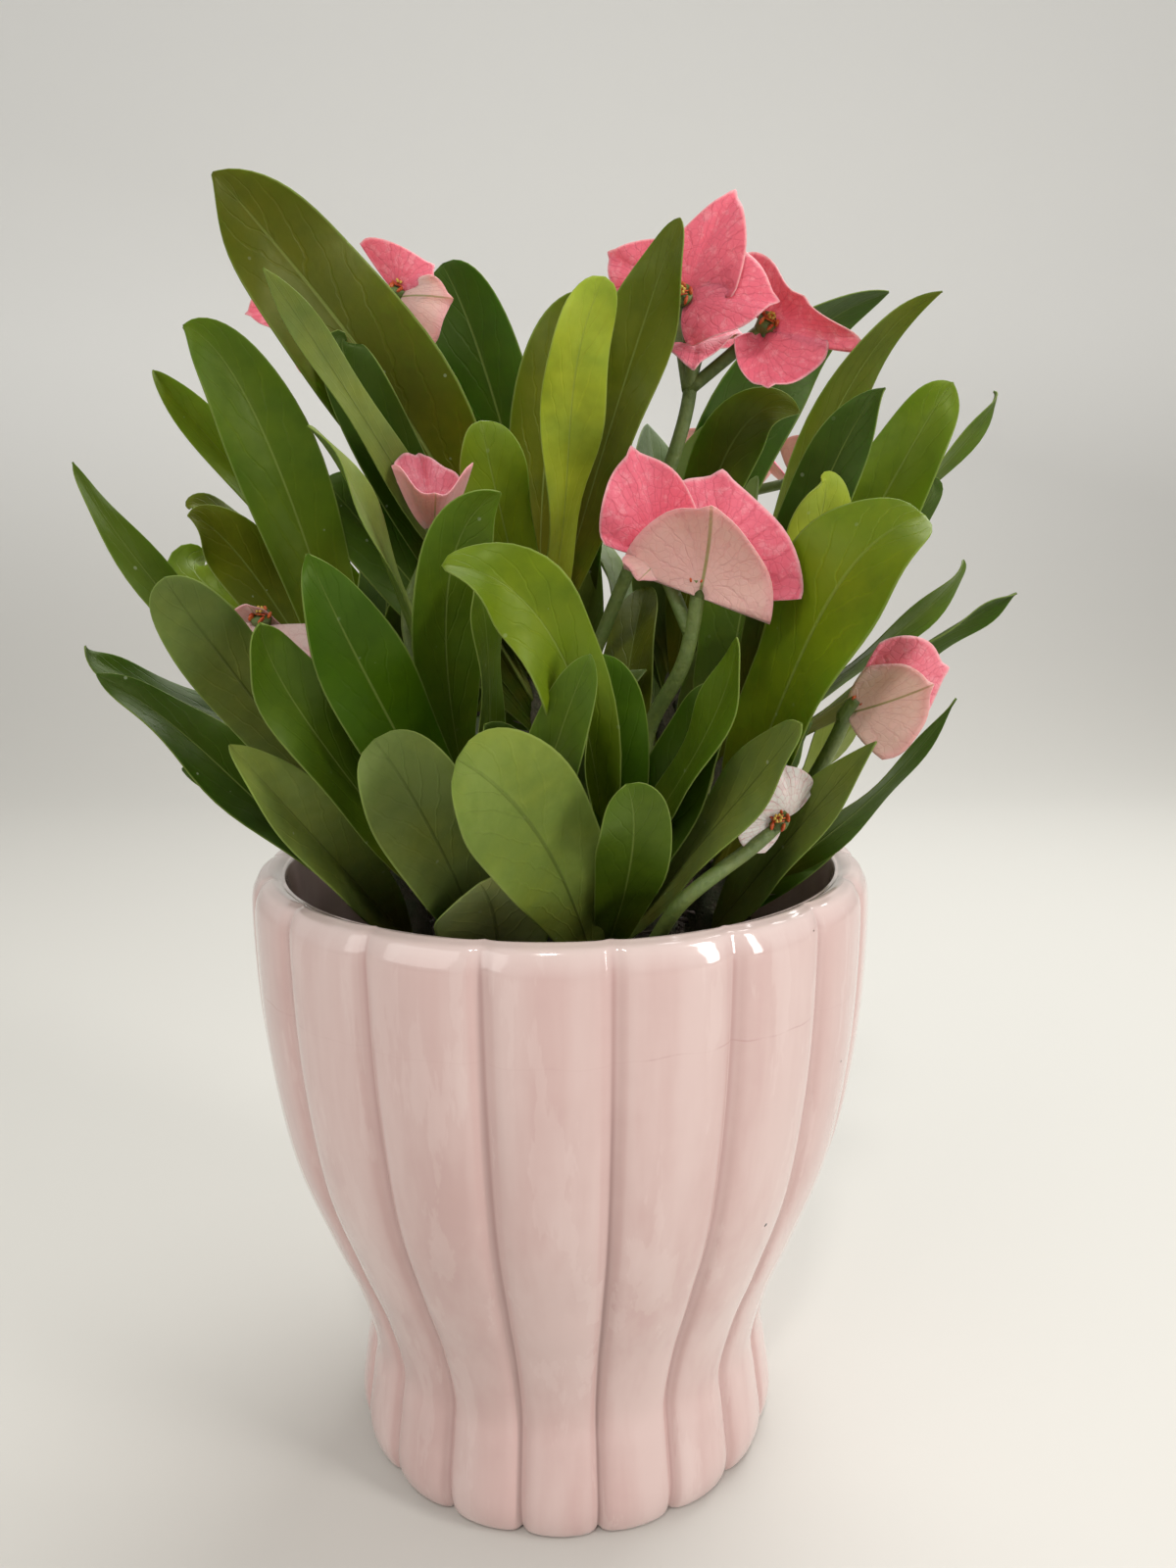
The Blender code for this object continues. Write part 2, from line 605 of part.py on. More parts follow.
def spike(name, root, tip, radius, collection):
    """A three-sided thorn between two points."""
    line = Vector(tip) - Vector(root)
    shape = bmesh.new()
    bmesh.ops.create_cone(
        shape, segments=3, cap_ends=True, radius1=radius * MM, radius2=0, depth=line.length * MM,
    )
    turn = line.to_track_quat("Z", "Y").to_matrix()
    centre = (Vector(root) + Vector(tip)) / 2 * MM
    bmesh.ops.rotate(shape, verts=shape.verts, matrix=turn)
    bmesh.ops.translate(shape, verts=shape.verts, vec=centre)
    mesh = bpy.data.meshes.new(name)
    shape.to_mesh(mesh)
    shape.free()
    return add_object(name, mesh, collection)


def keep_largest_body(mesh):
    """Drops loose scraps, and fills hollows that the union sealed, by keeping only the largest body."""
    shape = bmesh.new()
    shape.from_mesh(mesh)
    unseen = set(shape.verts)
    bodies = []
    while unseen:
        body, edge = set(), [unseen.pop()]
        while edge:
            vertex = edge.pop()
            body.add(vertex)
            near = {link.other_vert(vertex) for link in vertex.link_edges} & unseen
            unseen -= near
            edge.extend(near)
        bodies.append(body)
    bodies.sort(key=len)
    for body in bodies[:-1]:
        bmesh.ops.delete(shape, geom=list(body), context="VERTS")
    shape.to_mesh(mesh)
    shape.free()


def united(obj, pieces, material):
    """Joins the pieces' collection to the object by one Boolean union and removes the pieces."""
    union = obj.modifiers.new("Union", "BOOLEAN")
    union.operation = "UNION"
    union.operand_type = "COLLECTION"
    union.collection = pieces
    union.solver = UNION_SOLVER
    fused = applied(obj, weld=0.000005)
    keep_largest_body(fused.data)
    for piece in list(pieces.objects):
        bpy.data.objects.remove(piece, do_unlink=True)
    bpy.data.collections.remove(pieces)
    fused.data.materials.clear()
    fused.data.materials.append(material)
    return fused


def groove_depth(height):
    """Depth of the grooves between the pot's lobes at a height."""
    heights, depths = zip(*GROOVE_DEPTH)
    return float(np.interp(height, heights, depths))


def flute(obj):
    """Draws the pot's outer wall and lip in between its lobes."""
    for vertex in obj.data.vertices:
        x, y, z = vertex.co / MM
        radius = np.hypot(x, y)
        if z < LIP_BOTTOM and not on_outer_wall(radius, z):
            continue
        angle = (np.arctan2(y, x) + pi / 2 + LOBE_PHASE) * LOBES / (2 * pi)
        across = abs(angle - round(angle)) * 2
        inward = groove_depth(z) * across**GROOVE_SHARPNESS
        vertex.co.x *= (radius - inward) / radius
        vertex.co.y *= (radius - inward) / radius


def on_outer_wall(radius, height):
    """Whether a point of the unfluted pot lies on its outer wall."""
    radii, heights = zip(*reversed(OUTER_WALL))
    return radius > float(np.interp(height, heights, radii)) - 1.0


def make_pot(collection, material):
    """The fluted pot: a turned wall with a rounded lip, then its lobes."""
    inside = [(0.0, POT_FLOOR), *INNER_WALL]
    profile = inside + list(OUTER_WALL) + [(0.0, 0.0)]
    pot = turned("pot", profile, LOBES * LOBE_COLUMNS, collection)
    flute(pot)
    pot.data.materials.append(material)
    pot.data.shade_smooth()
    return pot


def make_soil(collection, cutters, material):
    """The soil that fills the pot, slightly mounded, with a plain hole for each stem."""
    wall_radii, wall_heights = zip(*INNER_WALL)
    top_radius = float(np.interp(SOIL_TOP, wall_heights, wall_radii)) - GAP
    reach, share = SOIL_SHOULDER
    shoulder = (top_radius * reach, SOIL_TOP + SOIL_MOUND * share)
    profile = [(0.0, SOIL_TOP + SOIL_MOUND), shoulder, (top_radius, SOIL_TOP)]
    wall = [point for point in reversed(INNER_WALL) if POT_FLOOR < point[1] < SOIL_TOP]
    profile += [(radius - GAP, height) for radius, height in wall]
    profile += [(INNER_WALL[0][0] - GAP, POT_FLOOR + GAP), (0.0, POT_FLOOR + GAP)]
    soil = turned("soil", profile, SOIL_COLUMNS, collection)
    soil.data.materials.append(material)
    for name, (foot, _) in STEMS.items():
        shape = bmesh.new()
        depth = SOIL_TOP + HOLE_RISE - STEM_FOOT + GAP
        bmesh.ops.create_cone(
            shape, segments=HOLE_SIDES, cap_ends=True, radius1=(STEM_RADIUS + 2 * GAP) * MM,
            radius2=(STEM_RADIUS + 2 * GAP) * MM, depth=depth * MM,
        )
        mesh = bpy.data.meshes.new("hole_" + name)
        shape.to_mesh(mesh)
        shape.free()
        hole = add_object("hole_" + name, mesh, cutters)
        hole.location = (foot[0] * MM, foot[1] * MM, (STEM_FOOT - GAP + depth / 2) * MM)
        hole.hide_render = True
        hole.display_type = "WIRE"
        cut = soil.modifiers.new("Hole " + name, "BOOLEAN")
        cut.operation = "DIFFERENCE"
        cut.object = hole
    return soil


def make_stem_tube(name, collection):
    """The bare stem: upright in the soil, then leaning, slightly tapered to a rounded tip."""
    tip = STEMS[name].tip
    heights = [STEM_FOOT, STEM_BEND, *np.linspace(STEM_BEND, tip[2], STEM_TUBE_STATIONS)[1:]]
    points = [stem_point(name, height) for height in heights]
    radii = [STEM_RADIUS, STEM_RADIUS, *np.linspace(STEM_RADIUS, STEM_TIP_RADIUS, STEM_TUBE_STATIONS)[1:]]
    points.append(stem_point(name, tip[2] + STEM_CAP))
    radii.append(STEM_TIP_RADIUS * 0.5)
    return tube(name + "_stem", points, radii, 2, collection)


def stem_radius(name, height):
    """The stem's radius at a height."""
    share = min(max((height - STEM_BEND) / (STEMS[name].tip[2] - STEM_BEND), 0.0), 1.0)
    return STEM_RADIUS + (STEM_TIP_RADIUS - STEM_RADIUS) * share


def add_thorns(name, pieces, others):
    """Thorns round a stem by the golden angle, where they stay clear of the other nodes."""
    draw = random.Random(SEED + len(name))
    tip = STEMS[name].tip
    low = SOIL_TOP + SOIL_MOUND + THORN_START
    for step in range(THORNS_PER_STEM):
        height = low + (tip[2] - THORN_STOP - SOIL_TOP - THORN_START) * step / THORNS_PER_STEM
        azimuth = GOLDEN_ANGLE * step + 1.0
        out = np.array((cos(azimuth), sin(azimuth), draw.uniform(*THORN_RISE)))
        centre = stem_point(name, height)
        radius = stem_radius(name, height)
        root = centre + out * (radius - THORN_ROOT)
        end = centre + out * (radius + THORN_LENGTH * draw.uniform(THORN_SHORTEST, THORN_LONGEST))
        thorn = spike("thorn", root, end, THORN_RADIUS, pieces)
        tree = mesh_tree(thorn)
        if any(tree.overlap(other) for other in others):
            bpy.data.objects.remove(thorn, do_unlink=True)


def bract_grid(bract, rows=BRACT_ROWS, columns=BRACT_COLUMNS):
    """Rows of points of one bract: fans of rising size from its root to its rim, mm."""
    root, crown, left, right = (np.array(point, float) for point in bract[:4])
    forward, across = crown - root, (right - left) / 2
    rise = (left + right) / 2 - root
    normal = unit(np.cross(across, forward))
    grid = []
    for size in np.linspace(BRACT_START, 1, rows):
        row = []
        for angle in np.linspace(-BRACT_SPAN, BRACT_SPAN, columns):
            ahead = np.sign(cos(angle)) * abs(cos(angle)) ** BRACT_SQUARENESS * size
            aside = np.sign(sin(angle)) * abs(sin(angle)) ** BRACT_SQUARENESS * size
            bowed = bract.bow * 4 * abs(ahead) * (1 - abs(ahead))
            lift = rise * abs(aside) ** BRACT_RISE + normal * bowed
            row.append(root + forward * ahead + across * aside + lift)
        grid.append(row)
    return np.array(grid)


def make_bloom(name, bloom, collection, material):
    """One bloom: a peduncle that starts beside its stem and forks to its heads, each with its bracts."""
    foot = stem_point(bloom.stem, bloom.base)
    outward = unit((np.array(bloom.route[0], float) - foot) * (1, 1, 0))
    start = foot + outward * (stem_radius(bloom.stem, bloom.base) + GAP)
    points = [start, start + outward * PEDUNCLE_RUN, *bloom.route, bloom.heads[0].centre]
    peduncle = tube(name, points, [PEDUNCLE_RADIUS] * len(points), 1, collection)
    pieces = new_collection(name + "_pieces", hidden=True)
    before, end = (np.array(point, float) for point in bloom.route[-2:])
    fork = end + (before - end) * FORK_SHARE
    for number, head in enumerate(bloom.heads):
        if number:
            tube("branch", [fork, head.centre], [BRANCH_RADIUS] * 2, 1, pieces)
        for bract in head.bracts:
            sheet("bract", bract_grid(bract), BRACT_THICKNESS, pieces)
        axis = unit(np.array(head.axis, float))
        tube("flower", [head.centre + axis * end for end in FLOWER_ENDS], FLOWER_RADII, 1, pieces)
    return united(peduncle, pieces, material)


def main():
    """Builds the pot, the soil, the blooms and the leafy stems."""
    clear_scene()
    plant = new_collection("crown_of_thorns_plant")
    cutters = new_collection("cutters", hidden=True)
    glaze = new_material("pink_glaze", (0.79, 0.60, 0.57), 0.12)
    earth = new_material("soil", (0.035, 0.022, 0.014), 0.95)
    leaf_green = new_material("leaf_green", (0.13, 0.24, 0.05), 0.45)
    bract_pink = new_material("bract_pink", (0.78, 0.20, 0.27), 0.55)

    make_pot(plant, glaze)
    make_soil(plant, cutters, earth)
    tubes = {name: make_stem_tube(name, plant) for name in STEMS}
    blooms = {name: make_bloom(name, bloom, plant, bract_pink) for name, bloom in BLOOMS.items()}
    solids = [(name, mesh_tree(obj)) for name, obj in [*tubes.items(), *blooms.items()]]
    placed = settle([*LEAVES, *rule_leaves()], solids)

    for name, stem in tubes.items():
        pieces = new_collection(name + "_pieces", hidden=True)
        for leaf, _ in placed:
            if leaf.stem == name:
                sheet("leaf", blade_grid(leaf), BLADE_THICKNESS, pieces)
        others = [tree for node, tree in solids if node != name]
        others += [trees[0] for leaf, trees in placed if leaf.stem != name]
        add_thorns(name, pieces, others)
        united(stem, pieces, leaf_green)


if __name__ == "__main__":
    main()
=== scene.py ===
"""Potted crown of thorns plant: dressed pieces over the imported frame, with a floor, light and camera.

The frame's origin is the centre of the pot's flat underside, +Z is up and -Y is the front. Tables
hold millimetres and MM turns them into metres.
"""

from __future__ import annotations

import logging
import random
from dataclasses import dataclass
from enum import Enum
from math import cos, pi, radians, sin
from typing import Any, Iterator, NamedTuple, Sequence

import bpy
import numpy as np
from mathutils import Matrix, Vector
from mathutils.bvhtree import BVHTree


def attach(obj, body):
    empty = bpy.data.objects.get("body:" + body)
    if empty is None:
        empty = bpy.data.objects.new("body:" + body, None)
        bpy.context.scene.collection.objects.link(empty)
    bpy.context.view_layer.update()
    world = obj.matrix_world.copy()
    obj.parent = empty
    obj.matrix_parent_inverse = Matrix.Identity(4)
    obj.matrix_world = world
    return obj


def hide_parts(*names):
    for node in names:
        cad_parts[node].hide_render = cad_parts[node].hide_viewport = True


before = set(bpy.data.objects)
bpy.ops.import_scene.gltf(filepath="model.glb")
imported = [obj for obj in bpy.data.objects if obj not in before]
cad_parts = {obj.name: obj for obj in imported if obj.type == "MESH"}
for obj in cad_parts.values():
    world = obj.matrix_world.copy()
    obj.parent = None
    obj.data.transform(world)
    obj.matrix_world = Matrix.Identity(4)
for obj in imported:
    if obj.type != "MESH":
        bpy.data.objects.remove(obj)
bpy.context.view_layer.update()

LOG = logging.getLogger("plant")
# Short names for the types that the signatures repeat
Socket = bpy.types.NodeSocket
Node = bpy.types.Node
Tree = bpy.types.NodeTree
Piece = bpy.types.Object
Material = bpy.types.Material
Colour = tuple[float, float, float]
Point = tuple[float, float, float]

SOCKETS = {float: "NodeSocketFloat", int: "NodeSocketInt", tuple: "NodeSocketVector"}
MM = 0.001
UP = np.array((0.0, 0.0, 1.0))
FRONT_POINT = np.array((6.0, -266.0, 207.0))
GOLDEN_ANGLE = radians(137.508)
SEED = 11

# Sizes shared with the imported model, mm, with turns and slopes of leaves in degrees
SOIL_TOP = 112.0
SOIL_MOUND = 3.0
STEM_FOOT = 84.0
STEM_BEND = 118.0
STEM_RADIUS = 5.2
STEM_TIP_RADIUS = 3.6
PETIOLE_WIDTH = 2.6
BLADE_RISE = 0.85
BLADE_TIP_SHARE = 0.12
BLADE_WAVES = 2.2
STATION_SPREAD = 1.3
STATIONS = 7
THORN_POINT = 0.04
THORN_WAIST = 0.45
GRAIN_LEAST, GRAIN_MOST = (0.35, 0.35, 0.25), (1.3, 1.0, 0.9)
GRAIN_TURN = (6.2, 6.2, 6.2)
BRACT_SPAN = radians(98.0)
BRACT_SQUARENESS = 1.28
BRACT_SIDE = 0.72
BRACT_RISE = 1.8
PAIR_SWEEP = 0.25
PAIR_BOW = 1.5
PEDUNCLE_RADIUS = 1.6
BRANCH_RADIUS = 1.4
PEDUNCLE_RUN = 2.5
FORK_SHARE = 0.15
REACHES = (0.0, 2.5, -2.5, 5.0, -5.0, 7.5, -7.5, 10.0, -10.0, 14.0, -14.0)
TURNS = (0.0, 12.0, -12.0, 24.0, -24.0)
MIDDLE_REACH = 0.8
SWING_PER_REACH = 4.0
RULE_LIMITS = (88.0, 92.0, 250.0)
RULE_STEEPNESS = (78.0, 50.0, 6.0)
RULE_LENGTH = (58.0, 84.0)
RULE_WIDTH = (14.0, 22.0)
RULE_BOW = 7.0
RULE_HANG = -0.6
RULE_FACE_UP, RULE_FACE_IN = 0.6, 0.8
RULE_FRONT = -12.0
RULE_TURN = (-25.0, 25.0)
RULE_TWIST = (-15.0, 15.0)
RULE_FOLD = (6.0, 22.0)
RULE_WAVE = (0.6, 1.6)
RULE_POINT = (0.5, 0.8)
RULE_TOP_FOOT, RULE_LOW_FOOT = 4.0, 6.0


class Tone(Enum):
    """Leaf colours, upper side, as linear RGB; the pale ones show their underside to the front."""

    DEEP = (0.030, 0.062, 0.003)
    MID = (0.062, 0.108, 0.006)
    OLIVE = (0.082, 0.100, 0.005)
    BRONZE = (0.066, 0.072, 0.003)
    FRESH = (0.115, 0.172, 0.006)
    VIVID = (0.046, 0.104, 0.002)
    LIME = (0.262, 0.325, 0.030)
    PALE = (0.138, 0.180, 0.045)
    PALE_LIME = (0.155, 0.210, 0.038)
    # Painted light: a lighter copy of PALE for one low leaf, to make up for the shade that the leaf above casts
    # on it.
    GREY = (0.250, 0.290, 0.110)


class Stem(NamedTuple):
    """A thorny stem: its foot in the soil and its tip, mm."""

    foot: tuple[float, float]
    tip: Point


class Leaf(NamedTuple):
    """A blade: its stem, the height of its foot, the middle and tip of its midrib (mm), and its look."""

    stem: str
    base: float
    middle: Point
    tip: Point
    width: float
    turn: float = 0.0
    twist: float = 0.0
    fold: float = 12.0
    wave: float = 1.0
    point: float = 0.8
    sway: float = 0.0
    by_rule: bool = False
    tone: Tone = Tone.MID


class Bract(NamedTuple):
    """A kidney-shaped bract: root, crown and side ends (mm), its bow, and if its underside faces front."""

    root: Point
    crown: Point
    left: Point
    right: Point
    bow: float = 2.0
    under: bool = False


class Head(NamedTuple):
    """One small flower with its bracts: its centre, mm, and the way it faces."""

    centre: Point
    axis: Point
    bracts: tuple[Bract, ...]


class Bloom(NamedTuple):
    """A peduncle's route from its stem, with the heads that it carries."""

    stem: str
    base: float
    route: tuple[Point, ...]
    heads: tuple[Head, ...]


def unit(vector: np.ndarray) -> np.ndarray:
    """The vector at length 1."""
    return vector / np.linalg.norm(vector)


def turned_about(vector: np.ndarray, axis: np.ndarray, angle: float) -> np.ndarray:
    """The vector turned by an angle about a unit axis."""
    along = axis * (axis @ vector)
    return vector * cos(angle) + np.cross(axis, vector) * sin(angle) + along * (1 - cos(angle))


def pair(centre: Point, axis: Point, roll: float, size: float, cup: float) -> Head:
    """A head of two like bracts across from each other.

    Args:
        centre: The flower's place, mm.
        axis: The way it faces.
        roll: Turn of the pair about that axis, degrees.
        size: Length of each bract, mm.
        cup: How far the bracts rise towards the axis, degrees.

    Returns:
        The head, its bracts opposite each other.
    """
    axis = unit(np.array(axis, float))
    level = unit(np.cross(axis, UP))
    bracts = []
    for side in (-1, 1):
        along = turned_about(level, axis, radians(roll)) * side
        lateral = np.cross(axis, along)
        rise = sin(radians(cup))
        root = np.array(centre, float) + along
        crown = root + size * (along * cos(radians(cup)) + axis * rise)
        left = root + size * (BRACT_SIDE * lateral + PAIR_SWEEP * along + axis * rise * PAIR_SWEEP)
        right = root + size * (-BRACT_SIDE * lateral + PAIR_SWEEP * along + axis * rise * PAIR_SWEEP)
        under = bool((FRONT_POINT - root) @ axis < 0)
        bracts.append(Bract(tuple(root), tuple(crown), tuple(left), tuple(right), -PAIR_BOW, under))
    return Head(centre, tuple(axis), tuple(bracts))


STEMS: dict[str, Stem] = {
    "front": Stem((8, -24), (12, -32, 156)),
    "front_left": Stem((-14, -22), (-18, -30, 158)),
    "left": Stem((-34, -4), (-42, -10, 164)),
    "centre": Stem((-2, 4), (-4, -2, 186)),
    "back_left": Stem((-20, 26), (-26, 30, 176)),
    "right": Stem((32, -8), (38, -14, 166)),
    "back_right": Stem((24, 22), (28, 22, 180)),
    "back": Stem((2, 38), (2, 44, 170)),
}

LEAVES: tuple[Leaf, ...] = (
    Leaf("front", 117, (-1, -62, 156), (-15, -77, 175), 23, 12, 0, 8, 1, 0.45, tone=Tone.PALE_LIME),
    Leaf("front_left", 118, (-21, -56, 155), (-30, -68, 177), 19, 15, 0, 8, 1, 0.45, tone=Tone.PALE),
    Leaf("front_left", 116, (-11, -55, 139), (-13, -67, 152), 23, 20, 0, 8, 0.5, 0.4, tone=Tone.GREY),
    Leaf("front", 136, (3, -61, 188), (-17, -72, 206), 15, 5, 30, 20, 3.0, 0.5, tone=Tone.FRESH),
    Leaf("front_left", 124, (-1, -58, 169), (7, -66, 191), 11, -10, tone=Tone.MID),
    Leaf("left", 118, (-45, -48, 154), (-57, -60, 175), 16, 25, 0, 34, tone=Tone.PALE),
    Leaf("front", 120, (14, -55, 151), (13, -68, 169), 14, 10, 0, 12, 1, 0.5, tone=Tone.MID),
    Leaf("front", 122, (33, -53, 161), (43, -66, 179), 14, -35, tone=Tone.PALE),
    Leaf("right", 120, (43, -46, 151), (57, -66, 177), 12, -35, tone=Tone.PALE),
    Leaf("right", 140, (47, -48, 191), (65, -58, 214), 25, -15, 0, 10, 1.6, 0.5, sway=1.5, tone=Tone.FRESH),
    Leaf("front", 140, (27, -54, 173), (32, -62, 193), 10, -60, tone=Tone.MID),
    Leaf("front_left", 124, (-41, -55, 173), (-47, -72, 197), 14, 20, 0, 20, 2.2, 0.7, tone=Tone.MID),
    Leaf("front_left", 138, (-33, -49, 183), (-41, -60, 207), 17, -10, 0, 12, 1.4, 0.95, tone=Tone.VIVID),
    Leaf("front_left", 154, (-19, -52, 199), (-8, -61, 218), 14, 20, tone=Tone.MID),
    Leaf("front_left", 156, (-31, -44, 207), (-41, -55, 229), 12, 78, tone=Tone.PALE),
    Leaf("front_left", 136, (-12, -50, 186), (-14, -56, 203), 9, 55, tone=Tone.MID),
    Leaf("left", 134, (-58, -42, 182), (-66, -58, 203), 14, 20, 0, 8, 1, 0.6, tone=Tone.PALE),
    Leaf("front", 128, (11, -47, 170), (9, -54, 190), 14, 20, tone=Tone.VIVID),
    Leaf("front", 124, (24, -42, 164), (31, -46, 184), 15, -20, tone=Tone.DEEP),
    Leaf("front_left", 130, (-10, -46, 162), (-12, -58, 178), 16, 10, tone=Tone.DEEP),
    Leaf("centre", 172, (-32, -34, 227), (-46, -62, 254), 9, 45, -20, tone=Tone.PALE),
    Leaf("centre", 178, (-36, -24, 245), (-59, -42, 274), 25, 12, 0, 10, 2.8, sway=1.5, tone=Tone.BRONZE),
    Leaf("left", 158, (-52, -35, 224), (-65, -45, 248), 17, 15, 0, 12, 1, 0.85, tone=Tone.MID),
    Leaf("centre", 166, (-32, -20, 205), (-46, -24, 223), 15, 15, 0, 12, 1, 0.5, tone=Tone.DEEP),
    Leaf("left", 144, (-77, -24, 197), (-93, -30, 226), 10, 35, 0, 12, 1, 1.0, tone=Tone.MID),
    Leaf("left", 162, (-63, -12, 202), (-74, -22, 216), 15, 20, tone=Tone.OLIVE),
    Leaf("left", 126, (-65, -28, 161), (-91, -32, 185), 15, 30, 0, 20, 1.8, sway=-1.5, tone=Tone.DEEP),
    Leaf("left", 120, (-60, -18, 153), (-79, -22, 164), 13, 25, tone=Tone.DEEP),
    Leaf("centre", 180, (-10, -30, 214), (-13, -40, 232), 14, 25, 0, 12, 1, 0.5, tone=Tone.FRESH),
    Leaf("centre", 182, (3, -32, 228), (10, -44, 256), 12, 25, -25, 12, 2.2, 0.45, sway=1.2, tone=Tone.LIME),
    Leaf("centre", 184, (13, -24, 237), (24, -35, 268), 14, -20, 0, 12, 3.0, 0.7, tone=Tone.OLIVE),
    Leaf("centre", 184, (-1, -8, 236), (10, -10, 259), 18, 10, 0, 12, 1, 0.6, tone=Tone.OLIVE),
    Leaf("right", 164, (53, -24, 229), (74, -30, 256), 10, 25, 0, 8, 1, 1.0, tone=Tone.OLIVE),
    Leaf("right", 158, (50, -33, 214), (61, -42, 237), 14, -20, 0, 12, 1, 1.0, tone=Tone.DEEP),
    Leaf("right", 156, (65, -25, 217), (78, -26, 240), 17, -15, 0, 12, 1.8, 1.0, tone=Tone.FRESH),
    Leaf("right", 150, (48, -38, 204), (49, -46, 221), 13, 50, tone=Tone.LIME),
    Leaf("right", 128, (61, -24, 153), (80, -32, 179), 9, 50, 0, 12, 1, 1.2, tone=Tone.DEEP),
    Leaf("right", 132, (40, -38, 164), (49, -44, 176), 13, 60, tone=Tone.DEEP),
    Leaf("right", 122, (49, -25, 147), (58, -22, 155), 16, 15, 0, 12, 1, 0.5, tone=Tone.DEEP),
    Leaf("right", 160, (78, -10, 187), (98, -12, 199), 10, 58, 0, 25, 1, 1.0, tone=Tone.DEEP),
    Leaf("back_right", 168, (82, 8, 222), (98, 10, 243), 7, 62, 0, 12, 1, 1.0, tone=Tone.MID),
    Leaf("back_right", 158, (73, 6, 207), (83, 8, 223), 8, 30, tone=Tone.DEEP),
    Leaf("back_right", 150, (74, 2, 188), (90, 0, 206), 9, 58, tone=Tone.MID),
    Leaf("back_right", 176, (45, 28, 240), (78, 28, 268), 22, 20, 40, tone=Tone.DEEP),
    Leaf("back_right", 172, (36, 2, 226), (52, -5, 237), 15, -20, tone=Tone.OLIVE),
    Leaf("back_left", 168, (-67, -4, 224), (-81, -16, 245), 11, 20, 0, 30, 1, 1.0, tone=Tone.FRESH),
    Leaf("back_left", 160, (-73, 8, 195), (-84, 18, 207), 14, 15, 0, 12, 1, 0.5, tone=Tone.FRESH),
    Leaf("back_left", 166, (-65, 4, 208), (-79, -6, 218), 11, 50, tone=Tone.OLIVE),
    Leaf("back_left", 148, (-83, 0, 174), (-103, -8, 189), 12, 50, 0, 12, 1, 1.0, tone=Tone.DEEP),
    Leaf("back", 164, (-13, 26, 236), (-26, 20, 273), 19, 0, 0, 12, 1.8, 0.5, tone=Tone.DEEP),
    Leaf("back", 160, (4, 16, 228), (2, 6, 250), 14, 10, tone=Tone.DEEP),
    Leaf("centre", 168, (-33, -25, 229), (-39, -30, 248), 13, 0, 0, 12, 1.5, tone=Tone.DEEP),
    Leaf("front", 126, (5, -54, 168), (6, -60, 185), 5, -40, tone=Tone.PALE),
)

